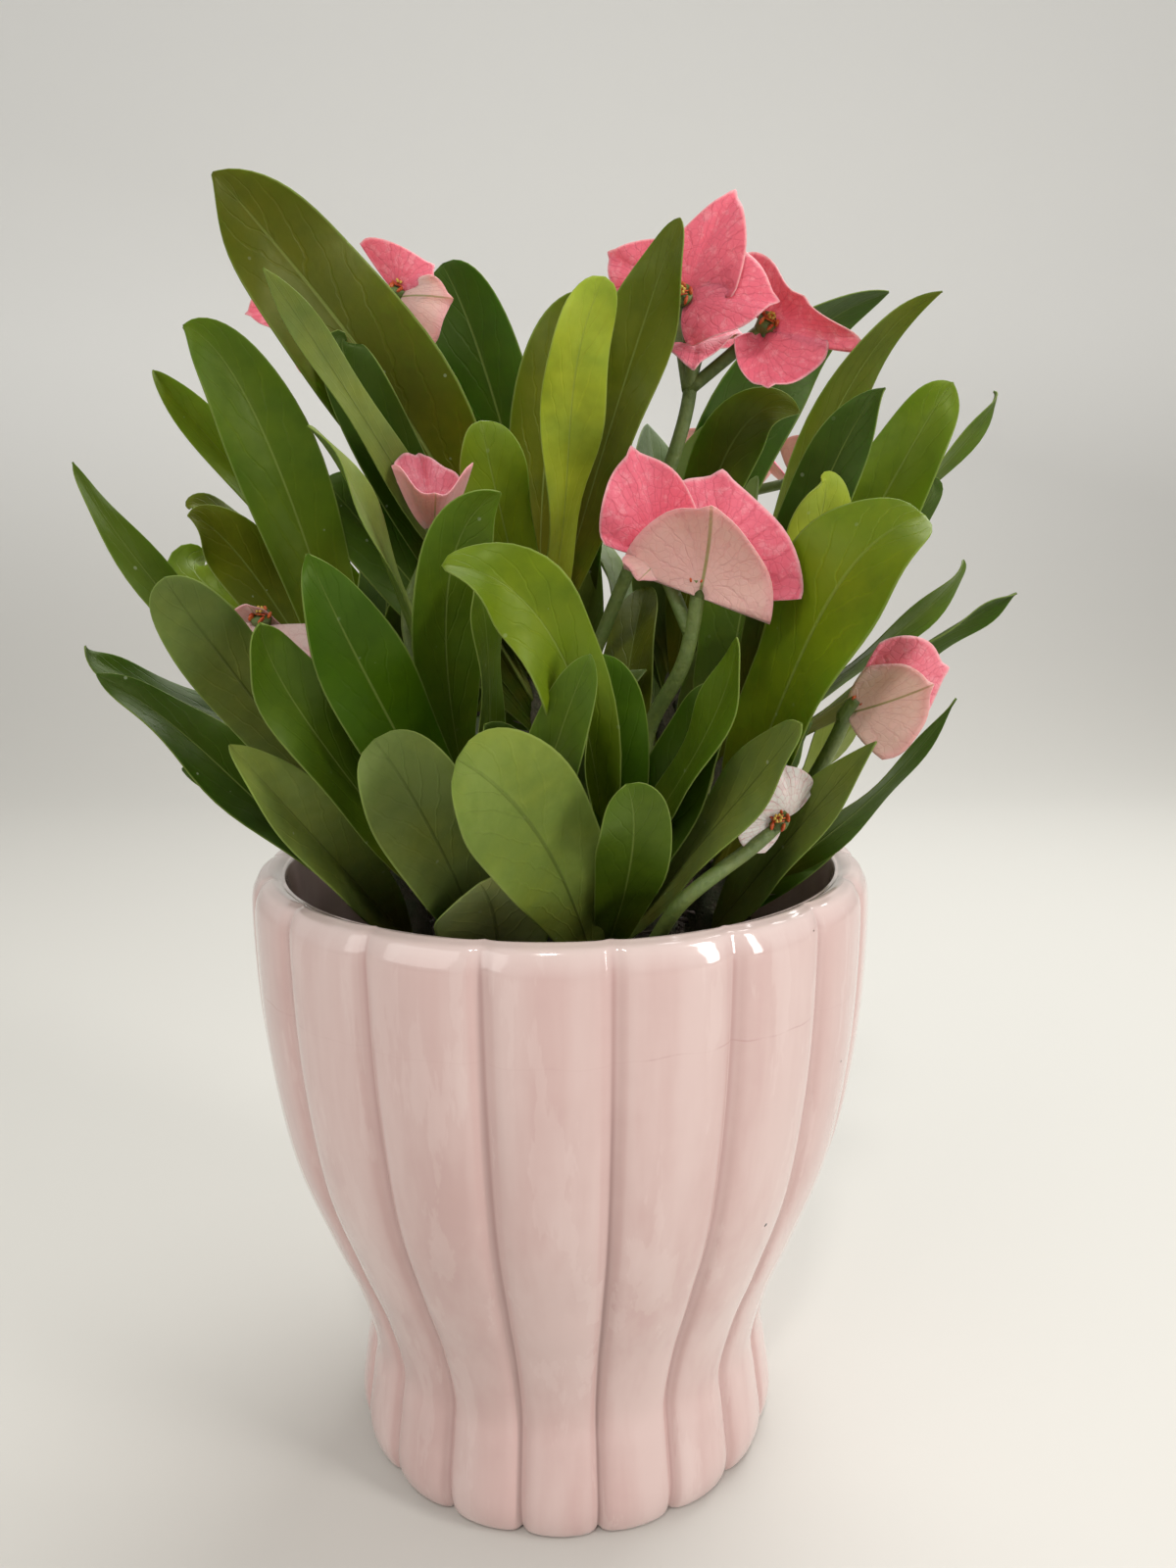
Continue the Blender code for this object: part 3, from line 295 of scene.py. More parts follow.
BLOOMS: dict[str, Bloom] = {
    "bloom_top_left": Bloom(
        "centre", 176, ((-16, 3, 196), (-28, 4, 226), (-38, 3, 250)),
        (
            Head((-34, 2, 262), (0.3, -0.5, 0.8), (
                Bract((-34, 2, 263), (-26, 0, 268), (-41, 4, 274), (-29, 0, 259)),
                Bract((-34, 2, 262), (-22, -2, 261), (-28, 0, 266), (-27, -2, 251), under=True),
            )),
            Head((-57, 4, 256), (-0.3, -0.4, 0.9), (
                Bract((-57, 4, 256), (-66, 2, 259), (-58, 2, 253), (-62, 8, 264)),
                Bract((-56, 4, 255), (-50, -2, 245), (-58, 0, 254), (-47, 6, 255), under=True),
            )),
        ),
    ),
    "bloom_top_right": Bloom(
        "centre", 174, ((12, -6, 196), (24, -14, 226), (28, -15, 243)),
        (
            Head((26, -19, 257), (-0.2, -0.9, 0.3), (
                Bract((26, -19, 257), (35, -20, 276), (18, -18, 259), (36, -24, 258)),
                Bract((26, -20, 256), (43, -24, 256), (32, -16, 268), (28, -22, 248)),
            )),
            Head((42, -17, 252), (0.3, -0.7, 0.4), (
                Bract((42, -17, 253), (48, -25, 256), (39, -13, 267), (59, -26, 246), -2.0),
                Bract((42, -18, 251), (42, -26, 240), (36, -20, 249), (54, -24, 248)),
            )),
            Head((30, -12, 250), (-0.2, -0.3, 0.9), (
                Bract((30, -13, 250), (28, -22, 244), (22, -14, 249), (38, -14, 251), -2.0),
                Bract((30, -10, 250), (36, 4, 256), (28, 0, 256), (39, -2, 251)),
            )),
            Head((25, -8, 260), (-0.5, -0.3, 0.8), (
                Bract((25, -8, 260), (12, -5, 269), (17, -6, 257), (27, -8, 269)),
                Bract((26, -7, 260), (31, 4, 273), (26, 2, 271), (35, 0, 264)),
            )),
        ),
    ),
    "bloom_right": Bloom(
        "front", 150, ((18, -36, 172), (24, -43, 186), (26, -45, 194)),
        (
            Head((27, -46, 201), (0.0, -0.3, 0.95), (
                Bract((27, -48, 200), (28, -58, 215), (13, -44, 206), (40, -50, 196), -2.0, under=True),
                Bract((29, -45, 201), (32, -37, 222), (18, -40, 210), (46, -48, 201)),
            )),
            Head((20, -41, 207), (-0.5, -0.5, 0.7), (
                Bract((20, -41, 208), (15, -42, 226), (9, -45, 211), (27, -42, 215)),
                Bract((20, -42, 206.5), (16, -47, 203), (13, -46.5, 207), (22, -43, 203.5), -1.0, under=True),
            )),
        ),
    ),
    "bloom_left": Bloom(
        "front_left", 150, ((-26, -34, 180), (-28, -37, 196), (-24, -40, 206)),
        (
            Head((-22, -40, 212), (0.0, -0.3, 0.95), (
                Bract((-22, -41, 212), (-20, -53, 218), (-29, -44, 224), (-14, -46, 224), 0.0, under=True),
                Bract((-22, -38, 212), (-26, -28, 227), (-30, -34, 223), (-17, -34, 220), 0.0),
            )),
        ),
    ),
    "bloom_far_left": Bloom(
        "left", 142, ((-48, -20, 158), (-54, -33, 176), (-54, -38, 187)),
        (
            Head((-55, -42, 195), (0.1, -0.6, 0.8), (
                Bract((-54, -43, 195), (-50, -48, 183), (-61, -45, 195), (-45, -42, 194), -2.0, under=True),
                Bract((-55, -41, 195), (-56, -46, 199), (-62, -42, 195), (-51, -40, 194), 0.0, under=True),
            )),
        ),
    ),
    "bloom_far_right": Bloom(
        "right", 142, ((48, -24, 152), (52, -32, 163), (55, -36, 171)),
        (
            Head((57, -38, 177), (0.7, 0.2, 0.6), (
                Bract((57, -39, 177), (70, -48, 183), (62, -36, 186), (64, -44, 169), -1.0, under=True),
                Bract((59, -36, 178), (76, -36, 185), (65, -34, 191), (65, -36, 169)),
            )),
        ),
    ),
    "bloom_wilted": Bloom(
        "front", 120, ((18, -42, 130), (24, -54, 144), (37, -50, 153)),
        (
            Head((43, -46, 157), (-0.2, -0.8, 0.4), (
                Bract((44, -46, 158), (43, -46, 168), (37, -50, 160), (49, -44, 163)),
                Bract((43, -47, 157), (34, -51, 157), (39, -50, 152), (38, -50, 164), 0.0),
            )),
        ),
    ),
    "bloom_back_right": Bloom(
        "back_right", 164, ((36, 36, 190), (42, 50, 212), (42, 56, 224)),
        (pair((42, 58, 230), (0.3, 0.7, 0.6), 20, 14, 30), pair((60, 48, 226), (0.8, 0.4, 0.4), -30, 13, 30)),
    ),
    "bloom_back_left": Bloom(
        "back", 160, ((-12, 54, 184), (-26, 62, 204), (-32, 64, 216)),
        (pair((-32, 66, 222), (-0.3, 0.8, 0.5), -15, 14, 30),),
    ),
}

RULE_LEAVES: dict[str, int] = {
    "front": 4, "front_left": 4, "left": 5, "centre": 5,
    "back_left": 6, "right": 5, "back_right": 6, "back": 10,
}


def stem_point(name: str, height: float) -> np.ndarray:
    """The centre of a stem at a height: upright out of the soil, then leaning to its tip.

    Args:
        name: The stem's name.
        height: Height above the pot's underside, mm.

    Returns:
        The point on the stem's centre line, mm.
    """
    foot, tip = STEMS[name]
    lean = max(0.0, (height - STEM_BEND) / (tip[2] - STEM_BEND))
    return np.array((foot[0] + (tip[0] - foot[0]) * lean, foot[1] + (tip[1] - foot[1]) * lean, height))


def stem_radius(name: str, height: float) -> float:
    """The stem's radius at a height, mm."""
    share = min(max((height - STEM_BEND) / (STEMS[name].tip[2] - STEM_BEND), 0.0), 1.0)
    return STEM_RADIUS + (STEM_TIP_RADIUS - STEM_RADIUS) * share


def half_width(leaf: Leaf, t: float, tip_share: float) -> float:
    """Half the blade's width at a share t of its length, mm.

    Args:
        leaf: The blade.
        t: Share of the midrib's length, from the foot.
        tip_share: Width that is left at the very tip, as a share of the blade's width.

    Returns:
        The half width, with a narrow foot and the widest place past the middle.
    """
    peak = BLADE_RISE / (BLADE_RISE + leaf.point)
    swell = (t / peak) ** BLADE_RISE * ((1 - t) / (1 - peak)) ** leaf.point
    return max(leaf.width * swell, leaf.width * tip_share * t, PETIOLE_WIDTH * (1 - t)) / 2


def blade_grid(
    leaf: Leaf, stations: int, sides: Sequence[float], tip_share: float = BLADE_TIP_SHARE,
) -> np.ndarray:
    """Rows of points across a blade, from its foot inside the stem to its tip.

    Args:
        leaf: The blade.
        stations: Number of rows along the midrib.
        sides: Places across the blade, from -1 to 1.
        tip_share: Width that is left at the very tip, as a share of the blade's width.

    Returns:
        An array of rows by places by 3, mm.
    """
    foot = stem_point(leaf.stem, leaf.base)
    middle, tip = np.array(leaf.middle, float), np.array(leaf.tip, float)
    bend = 2 * middle - (foot + tip) / 2
    facing = FRONT_POINT - middle
    if leaf.by_rule:
        facing = UP * RULE_FACE_UP - unit((tip - foot) * (1, 1, 0)) * RULE_FACE_IN
    rows = []
    for step in np.linspace(0, 1, stations):
        t = 1 - (1 - step) ** STATION_SPREAD
        point = (1 - t) ** 2 * foot + 2 * t * (1 - t) * bend + t * t * tip
        along = unit((1 - t) * (bend - foot) + t * (tip - bend))
        normal = unit(facing - (facing @ along) * along)
        normal = turned_about(normal, along, radians(leaf.turn + leaf.twist * (2 * t - 1)))
        across = np.cross(along, normal)
        point = point + across * leaf.sway * sin(2 * pi * t)
        half = half_width(leaf, t, tip_share)
        ripple = leaf.wave * sin(2 * pi * BLADE_WAVES * t + leaf.base) * (4 * t * (1 - t)) ** 0.5
        fold = radians(leaf.fold)
        rows.append([
            point + across * side * half * cos(fold)
            + normal * (abs(side) * half * sin(fold) + ripple * side * abs(side) ** 0.5)
            for side in sides
        ])
    return np.array(rows)


def variants(leaf: Leaf) -> Iterator[Leaf]:
    """The leaf as written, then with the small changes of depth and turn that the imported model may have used.

    Args:
        leaf: The blade of the table or of the rule.

    Yields:
        The blade at each place that is tried for it, in order.
    """
    foot = stem_point(leaf.stem, leaf.base)
    points = [np.array(point, float) for point in (leaf.middle, leaf.tip)]
    line = unit(FRONT_POINT - points[0])
    for reach in REACHES:
        if leaf.by_rule:
            swing = radians(SWING_PER_REACH * reach)
            moved = [turned_about(point - foot, UP, swing) + foot for point in points]
        else:
            moved = [points[0] + line * reach * MIDDLE_REACH, points[1] + line * reach]
        for turn in TURNS:
            yield leaf._replace(middle=tuple(moved[0]), tip=tuple(moved[1]), turn=leaf.turn + turn)


def rule_leaves() -> Iterator[Leaf]:
    """Leaves set round each stem by the golden angle, steeper towards the tip, away from the front.

    Yields:
        Each blade that stays within the plant's outline, with a tone of its own.
    """
    draw = random.Random(SEED)
    tones = random.Random(SEED + 1)
    low, gain, spread = RULE_STEEPNESS
    side, back, top = RULE_LIMITS
    for name, (_, tip) in STEMS.items():
        count = RULE_LEAVES[name] * 2
        for step in range(count):
            azimuth = GOLDEN_ANGLE * step + len(name)
            steepness = radians(low - gain * step / count + draw.uniform(-spread, spread))
            length = draw.uniform(*RULE_LENGTH)
            out = np.array((cos(azimuth), sin(azimuth), 0.0))
            base = tip[2] - RULE_TOP_FOOT - (tip[2] - STEM_BEND - RULE_LOW_FOOT) * step / count
            foot = stem_point(name, base)
            end = foot + length * (out * cos(steepness) + UP * sin(steepness))
            bow = RULE_BOW * (1 if step % 3 else RULE_HANG)
            middle = (foot + end) / 2 + bow * (UP * cos(steepness) - out * sin(steepness))
            if abs(end[0]) > side or end[1] > back or end[2] > top or end[1] < RULE_FRONT:
                continue
            look = [
                draw.uniform(*limits)
                for limits in (RULE_WIDTH, RULE_TURN, RULE_TWIST, RULE_FOLD, RULE_WAVE, RULE_POINT)
            ]
            tone = tones.choice((Tone.DEEP, Tone.MID, Tone.MID, Tone.OLIVE, Tone.FRESH))
            yield Leaf(name, base, tuple(middle), tuple(end), *look, by_rule=True, tone=tone)


class Graph:
    """Adds nodes to a node tree and links them, so that a tree reads as a few expressions."""

    def __init__(self, tree: Tree) -> None:
        """Keeps the tree to add to."""
        self.tree = tree

    def node(self, kind: str, inputs: dict[str | int, Any] | None = None, **settings: Any) -> Node:
        """Adds a node.

        Args:
            kind: The node's type.
            inputs: A value or a socket for each named or numbered input.
            **settings: The node's own properties.

        Returns:
            The new node.
        """
        node = self.tree.nodes.new(kind)
        for name, value in settings.items():
            setattr(node, name, value)
        for key, value in (inputs or {}).items():
            if isinstance(value, Socket):
                self.link(value, node.inputs[key])
            else:
                node.inputs[key].default_value = value
        return node

    def first(self, kind: str, inputs: dict[str | int, Any] | None = None, **settings: Any) -> Socket:
        """Adds a node and gives its first output."""
        return self.node(kind, inputs, **settings).outputs[0]

    def link(self, source: Socket, target: Socket) -> None:
        """Links one socket to another."""
        self.tree.links.new(source, target)

    def math(self, operation: str, first: Any, second: Any = 0.0) -> Socket:
        """The result of a Math node."""
        return self.first("ShaderNodeMath", {0: first, 1: second}, operation=operation)

    def times(self, first: Any, second: Any) -> Socket:
        """The product of two values."""
        return self.math("MULTIPLY", first, second)

    def plus(self, first: Any, second: Any) -> Socket:
        """The sum of two values."""
        return self.math("ADD", first, second)

    def minus(self, first: Any, second: Any) -> Socket:
        """The first value less the second one."""
        return self.math("SUBTRACT", first, second)

    def mix(self, share: Any, first: Any, second: Any, blend: str = "MIX") -> Socket:
        """A mix of two colours.

        Args:
            share: How much of the second colour, from 0 to 1.
            first: A socket, or a colour of three numbers.
            second: A socket, or a colour of three numbers.
            blend: The way of mixing.

        Returns:
            The mixed colour.
        """
        colours = [(*c, 1.0) if isinstance(c, tuple) and len(c) == 3 else c for c in (first, second)]
        inputs = {0: share, 6: colours[0], 7: colours[1]}
        return self.node("ShaderNodeMix", inputs, data_type="RGBA", blend_type=blend).outputs[2]

    def tint(self, share: Any, colour: Any, tint: Colour) -> Socket:
        """A colour multiplied by a tint, as far as the share says."""
        return self.mix(share, colour, tint, "MULTIPLY")

    def span(
        self, value: Any, low: Any, high: Any, to_low: float = 0.0, to_high: float = 1.0,
    ) -> Socket:
        """The value carried smoothly from one range to another."""
        inputs = {"Value": value, "From Min": low, "From Max": high, "To Min": to_low, "To Max": to_high}
        return self.first("ShaderNodeMapRange", inputs, interpolation_type="SMOOTHSTEP")

    def noise(self, vector: Any, scale: Any, detail: float = 4.0, roughness: float = 0.55) -> Socket:
        """The value of a noise texture."""
        inputs = {"Vector": vector, "Scale": scale, "Detail": detail, "Roughness": roughness}
        return self.first("ShaderNodeTexNoise", inputs)

    def attribute(self, name: str, output: str = "Fac") -> Socket:
        """A named attribute of the mesh."""
        return self.node("ShaderNodeAttribute", attribute_name=name).outputs[output]

    def place(self) -> Socket:
        """Object coordinates."""
        return self.node("ShaderNodeTexCoord").outputs["Object"]

    def stretched(self, factors: Point) -> Socket:
        """Object coordinates, each multiplied by its factor."""
        return self.first("ShaderNodeMapping", {"Vector": self.place(), "Scale": factors})

    def bump(self, shader: Node, height: Any, strength: float, distance: float) -> None:
        """Bumps a shader's surface by a height that changes over it."""
        node = self.node("ShaderNodeBump", {"Height": height, "Strength": strength, "Distance": distance})
        self.link(node.outputs[0], shader.inputs["Normal"])

    def group(self, tree: Tree, **inputs: Any) -> Node:
        """A node of a shared shader group.

        Args:
            tree: The group.
            **inputs: A value or a socket for each input (underscores stand for spaces).

        Returns:
            The new node.
        """
        named = {name.replace("_", " "): value for name, value in inputs.items()}
        return self.node("ShaderNodeGroup", named, node_tree=tree)


def new_group(name: str, kind: str, inputs: dict[str, Any], outputs: dict[str, str]) -> Tree:
    """A node group with its sockets.

    Args:
        name: The group's name.
        kind: ShaderNodeTree or GeometryNodeTree.
        inputs: For each input socket its default, or the name of its type where it has none.
        outputs: For each output socket, its type.

    Returns:
        The group, with its Group Input and Group Output nodes in place.
    """
    tree = bpy.data.node_groups.new(name, kind)
    for label, default in inputs.items():
        plain = isinstance(default, str)
        socket_type = default if plain else SOCKETS[type(default)]
        socket = tree.interface.new_socket(label, in_out="INPUT", socket_type=socket_type)
        if not plain:
            socket.default_value = default
    for label, socket_type in outputs.items():
        tree.interface.new_socket(label, in_out="OUTPUT", socket_type=socket_type)
    tree.nodes.new("NodeGroupInput")
    tree.nodes.new("NodeGroupOutput")
    return tree


class SharedEffects:
    """The shader groups that more than one finish uses."""

    def __init__(self) -> None:
        """Builds each group once."""
        self.mottle = self._mottle()
        self.veins = self._veins()
        self.specks = self._specks()

    def _start(self, name: str, inputs: dict[str, float], *masks: str) -> tuple[Graph, Any, Any]:
        """Starts a group.

        Args:
            name: The group's name.
            inputs: The default of each input.
            *masks: The name of each output.

        Returns:
            A graph on the group, its input sockets and its output sockets.
        """
        tree = new_group(name, "ShaderNodeTree", inputs, {mask: SOCKETS[float] for mask in masks})
        return Graph(tree), tree.nodes["Group Input"].outputs, tree.nodes["Group Output"].inputs

    def _mottle(self) -> Tree:
        """Soft blotches: a coarse noise broken up by a fine one.

        Returns:
            The group, which puts out a mask.
        """
        graph, given, result = self._start("Mottle", {"Scale": 60.0, "Low": 0.4, "High": 0.6}, "Mask")
        place = graph.place()
        coarse = graph.noise(place, given["Scale"], 5.0, 0.6)
        fine = graph.noise(place, graph.times(given["Scale"], 7.0), 3.0)
        both = graph.plus(graph.times(coarse, 0.75), graph.times(fine, 0.25))
        graph.link(graph.span(both, given["Low"], given["High"]), result["Mask"])
        return graph.tree

    def _veins(self) -> Tree:
        """Side veins and a midrib, from the blade's own along and across attributes.

        Returns:
            The group, which puts out a mask of each.
        """
        sizes = {"Along Count": 9.0, "Across Count": -3.0, "Wobble": 0.5, "Midrib": 0.06}
        graph, given, result = self._start("Veins", sizes, "Veins", "Midrib")
        along, across = graph.attribute("along"), graph.math("ABSOLUTE", graph.attribute("across"))
        place = graph.place()
        wobble = graph.times(graph.noise(place, 140.0, 3.0), given["Wobble"])
        line = graph.plus(graph.times(along, given["Along Count"]), wobble)
        line = graph.plus(line, graph.times(across, given["Across Count"]))
        wave = graph.math("COSINE", graph.times(line, 2 * pi))
        fade = graph.span(across, 1.0, 0.55)
        veins = graph.times(graph.span(wave, 0.86, 1.0), fade)
        rib = graph.math("DIVIDE", across, given["Midrib"])
        graph.link(veins, result["Veins"])
        graph.link(graph.span(rib, 1.0, 0.3), result["Midrib"])
        return graph.tree

    def _specks(self) -> Tree:
        """Small scattered dots, of which only a share of the cells gets one.

        Returns:
            The group, which puts out a mask.
        """
        graph, given, result = self._start("Specks", {"Scale": 200.0, "Size": 0.15, "Share": 0.1}, "Mask")
        place = graph.place()
        cells = graph.node("ShaderNodeTexVoronoi", {"Vector": place, "Scale": given["Scale"]})
        dot = graph.math("LESS_THAN", cells.outputs["Distance"], given["Size"])
        lot = graph.first("ShaderNodeSeparateColor", {0: cells.outputs["Color"]})
        kept = graph.math("LESS_THAN", lot, given["Share"])
        graph.link(graph.times(dot, kept), result["Mask"])
        return graph.tree


def new_material(name: str) -> tuple[Material, Graph, Node]:
    """A material that is still plain.

    Args:
        name: The material's name.

    Returns:
        The material, a graph on its tree and its Principled shader.
    """
    material = bpy.data.materials.new(name)
    material.use_nodes = True
    return material, Graph(material.node_tree), material.node_tree.nodes["Principled BSDF"]


@dataclass(frozen=True)
class LeafFinish:
    """Satin leaf skin: paler and rougher below, with a pale midrib, faint veins, a dry foot and margins painted
    as a backlit rim.
    """

    effects: SharedEffects
    midrib: Colour = (0.23, 0.29, 0.07)
    sunk_rib: Colour = (0.035, 0.050, 0.008)
    painted_rim_light: Colour = (0.22, 0.27, 0.07)
    # Painted rim light along the margins
    dry: Colour = (0.16, 0.085, 0.012)
    water_mark: Colour = (0.40, 0.44, 0.32)
    dull: Colour = (0.50, 0.58, 0.40)
    sunny: Colour = (1.50, 1.25, 0.6)
    vein: Colour = (1.9, 1.7, 1.5)
    dull_share: float = 0.48
    sunny_share: float = 0.50
    vein_share: float = 0.16
    dry_share: float = 0.35
    painted_rim_light_share: float = 0.45
    mark_share: float = 0.40
    roughness: float = 0.38
    lower_roughness: float = 0.18
    dull_roughness: float = 0.10
    grain_scale: float = 900.0
    grain_height: float = 0.10
    vein_height: float = 0.30
    swell_scale: float = 110.0
    swell_height: float = 0.6

    def material(self) -> Material:
        """Builds the material from the blade's tone, side, along and across attributes.

        Returns:
            The finished material.
        """
        material, graph, shader = new_material("leaf")
        upper = graph.attribute("side")
        lower = graph.minus(1.0, upper)
        along = graph.attribute("along")
        across = graph.math("ABSOLUTE", graph.attribute("across"))
        place = graph.place()
        blotch = graph.group(self.effects.mottle, Scale=55.0, Low=0.38, High=0.64).outputs[0]
        cloud = graph.group(self.effects.mottle, Scale=16.0, Low=0.42, High=0.60).outputs[0]
        veins = graph.group(self.effects.veins, Along_Count=8.0, Across_Count=-2.6, Wobble=1.1, Midrib=0.045)
        tone = graph.attribute("tone", "Color")
        colour = graph.tint(graph.times(blotch, self.dull_share), tone, self.dull)
        colour = graph.tint(graph.times(cloud, self.sunny_share), colour, self.sunny)
        vein_mask = graph.times(veins.outputs["Veins"], graph.times(cloud, self.vein_share))
        colour = graph.tint(vein_mask, colour, self.vein)
        rib = graph.mix(lower, self.midrib, self.sunk_rib)
        rib_share = graph.times(veins.outputs["Midrib"], graph.span(along, 1.0, 0.2, 0.12, 0.50))
        colour = graph.mix(rib_share, colour, rib)
        worn = graph.times(graph.span(along, 0.34, 0.10), graph.times(cloud, self.dry_share))
        colour = graph.mix(worn, colour, self.dry)
        # Painted rim light: a line along the margins, paler than most blades, stands for light shining through
        # the thin edge.
        edge = graph.span(across, 0.955, 0.985)
        colour = graph.mix(graph.times(edge, self.painted_rim_light_share), colour, self.painted_rim_light)
        marks = graph.group(self.effects.specks, Scale=420.0, Size=0.16, Share=0.05).outputs[0]
        mark_mask = graph.times(marks, graph.times(cloud, self.mark_share))
        colour = graph.mix(mark_mask, colour, self.water_mark)
        graph.link(colour, shader.inputs["Base Color"])
        rough = graph.plus(graph.times(lower, self.lower_roughness), graph.times(blotch, self.dull_roughness))
        graph.link(graph.plus(rough, self.roughness), shader.inputs["Roughness"])
        grain = graph.times(graph.noise(place, self.grain_scale, 3.0), self.grain_height)
        ribs = graph.plus(graph.times(veins.outputs["Veins"], 0.5), veins.outputs["Midrib"])
        raised = graph.times(ribs, graph.minus(lower, upper))
        height = graph.plus(grain, graph.times(raised, self.vein_height))
        swell = graph.times(graph.noise(place, self.swell_scale, 3.0), self.swell_height)
        graph.bump(shader, graph.plus(height, swell), strength=0.55, distance=0.0007)
        shader.inputs["Specular IOR Level"].default_value = 0.26
        shader.inputs["Specular Tint"].default_value = (0.88, 1.0, 0.55, 1.0)
        shader.inputs["Subsurface Weight"].default_value = 0.12
        shader.inputs["Subsurface Radius"].default_value = (0.4, 0.8, 0.1)
        shader.inputs["Subsurface Scale"].default_value = 0.002
        return material


@dataclass(frozen=True)
class BractFinish:
    """Velvety bract: pink above with fine darker net veins and pale flecks, washed-out and fibrous below."""

    effects: SharedEffects
    vein: Colour = (0.42, 0.030, 0.065)
    fleck: Colour = (0.90, 0.50, 0.52)
    rib: Colour = (0.19, 0.22, 0.04)
    blush: Colour = (0.72, 0.20, 0.25)
    pale_rim: Colour = (0.88, 0.55, 0.55)
    cloudy: Colour = (0.92, 0.66, 0.72)
    cloudy_share: float = 0.22
    fan_share: float = 0.35
    net_share: float = 0.22
    blush_share: float = 0.40
    rim_share: float = 0.45
    fan_veins: float = 5.5
    fan_wobble: float = 2.6
    net_scale: float = 620.0

    def material(self) -> Material:
        """Builds the material from the bract's tone, side, along and across attributes.

        Returns:
            The finished material.
        """
        material, graph, shader = new_material("bract")
        upper = graph.attribute("side")
        lower = graph.minus(1.0, upper)
        along, across = graph.attribute("along"), graph.attribute("across")
        place = graph.place()
        flecks = graph.group(self.effects.mottle, Scale=520.0, Low=0.50, High=0.62).outputs[0]
        cloud = graph.group(self.effects.mottle, Scale=110.0, Low=0.40, High=0.62).outputs[0]
        midrib = graph.group(self.effects.veins, Midrib=0.03).outputs["Midrib"]
        ray = graph.math("DIVIDE", across, graph.math("MAXIMUM", along, 0.1))
        wobble = graph.times(graph.noise(place, 160.0, 3.0), self.fan_wobble)
        line = graph.plus(graph.times(ray, self.fan_veins), wobble)
        fan = graph.span(graph.math("COSINE", graph.times(line, 2 * pi)), 0.80, 1.0)
        cells = {"Vector": place, "Scale": self.net_scale}
        net = graph.node("ShaderNodeTexVoronoi", cells, feature="DISTANCE_TO_EDGE")
        mesh = graph.span(net.outputs["Distance"], 0.10, 0.0)
        tone = graph.attribute("tone", "Color")
        colour = graph.tint(graph.times(cloud, self.cloudy_share), tone, self.cloudy)
        fleck_mask = graph.times(flecks, graph.span(upper, 0.0, 1.0, 0.12, 0.22))
        colour = graph.mix(fleck_mask, colour, self.fleck)
        veined = graph.plus(graph.times(fan, self.fan_share), graph.times(mesh, self.net_share))
        vein_mask = graph.times(veined, graph.span(upper, 0.0, 1.0, 0.30, 0.85))
        colour = graph.mix(vein_mask, colour, self.vein)
        rib_mask = graph.times(midrib, graph.times(lower, graph.span(along, 0.0, 1.0, 0.85, 0.65)))
        colour = graph.mix(rib_mask, colour, self.rib)
        edge = graph.span(along, 0.78, 1.0)
        colour = graph.mix(graph.times(edge, graph.times(lower, self.blush_share)), colour, self.blush)
        thin = graph.span(along, 0.95, 1.0)
        colour = graph.mix(graph.times(thin, graph.times(upper, self.rim_share)), colour, self.pale_rim)
        graph.link(colour, shader.inputs["Base Color"])
        shader.inputs["Roughness"].default_value = 0.55
        sunk = graph.times(graph.plus(graph.times(fan, 0.7), graph.times(mesh, 0.4)), -0.5)
        height = graph.plus(sunk, graph.times(graph.noise(place, 700.0), 0.25))
        graph.bump(shader, height, strength=0.45, distance=0.0004)
        shader.inputs["Sheen Weight"].default_value = 0.12
        shader.inputs["Subsurface Weight"].default_value = 0.2
        shader.inputs["Subsurface Radius"].default_value = (1.0, 0.4, 0.3)
        shader.inputs["Subsurface Scale"].default_value = 0.002
        return material


@dataclass(frozen=True)
class SkinFinish:
    """A plain plant skin or earth, with blotches of a second colour and a grainy bump."""

    effects: SharedEffects
    name: str
    colour: Colour
    blotch: Colour
    scale: float
    roughness: float
    bump: float
    shade: Colour = (0.55, 0.55, 0.55)
    shade_share: float = 0.4

    def material(self) -> Material:
        """Builds the material on Object coordinates.

        Returns:
            The finished material.
        """
        material, graph, shader = new_material(self.name)
        mask = graph.group(self.effects.mottle, Scale=self.scale, Low=0.40, High=0.62).outputs[0]
        fine = graph.group(self.effects.mottle, Scale=self.scale * 5, Low=0.35, High=0.65).outputs[0]
        colour = graph.mix(mask, self.colour, self.blotch)
        colour = graph.tint(graph.times(fine, self.shade_share), colour, self.shade)
        graph.link(colour, shader.inputs["Base Color"])
        graph.link(graph.plus(graph.times(fine, 0.12), self.roughness), shader.inputs["Roughness"])
        height = graph.plus(graph.times(mask, 0.6), graph.times(fine, 0.4))
        graph.bump(shader, height, strength=self.bump, distance=0.0008)
        return material


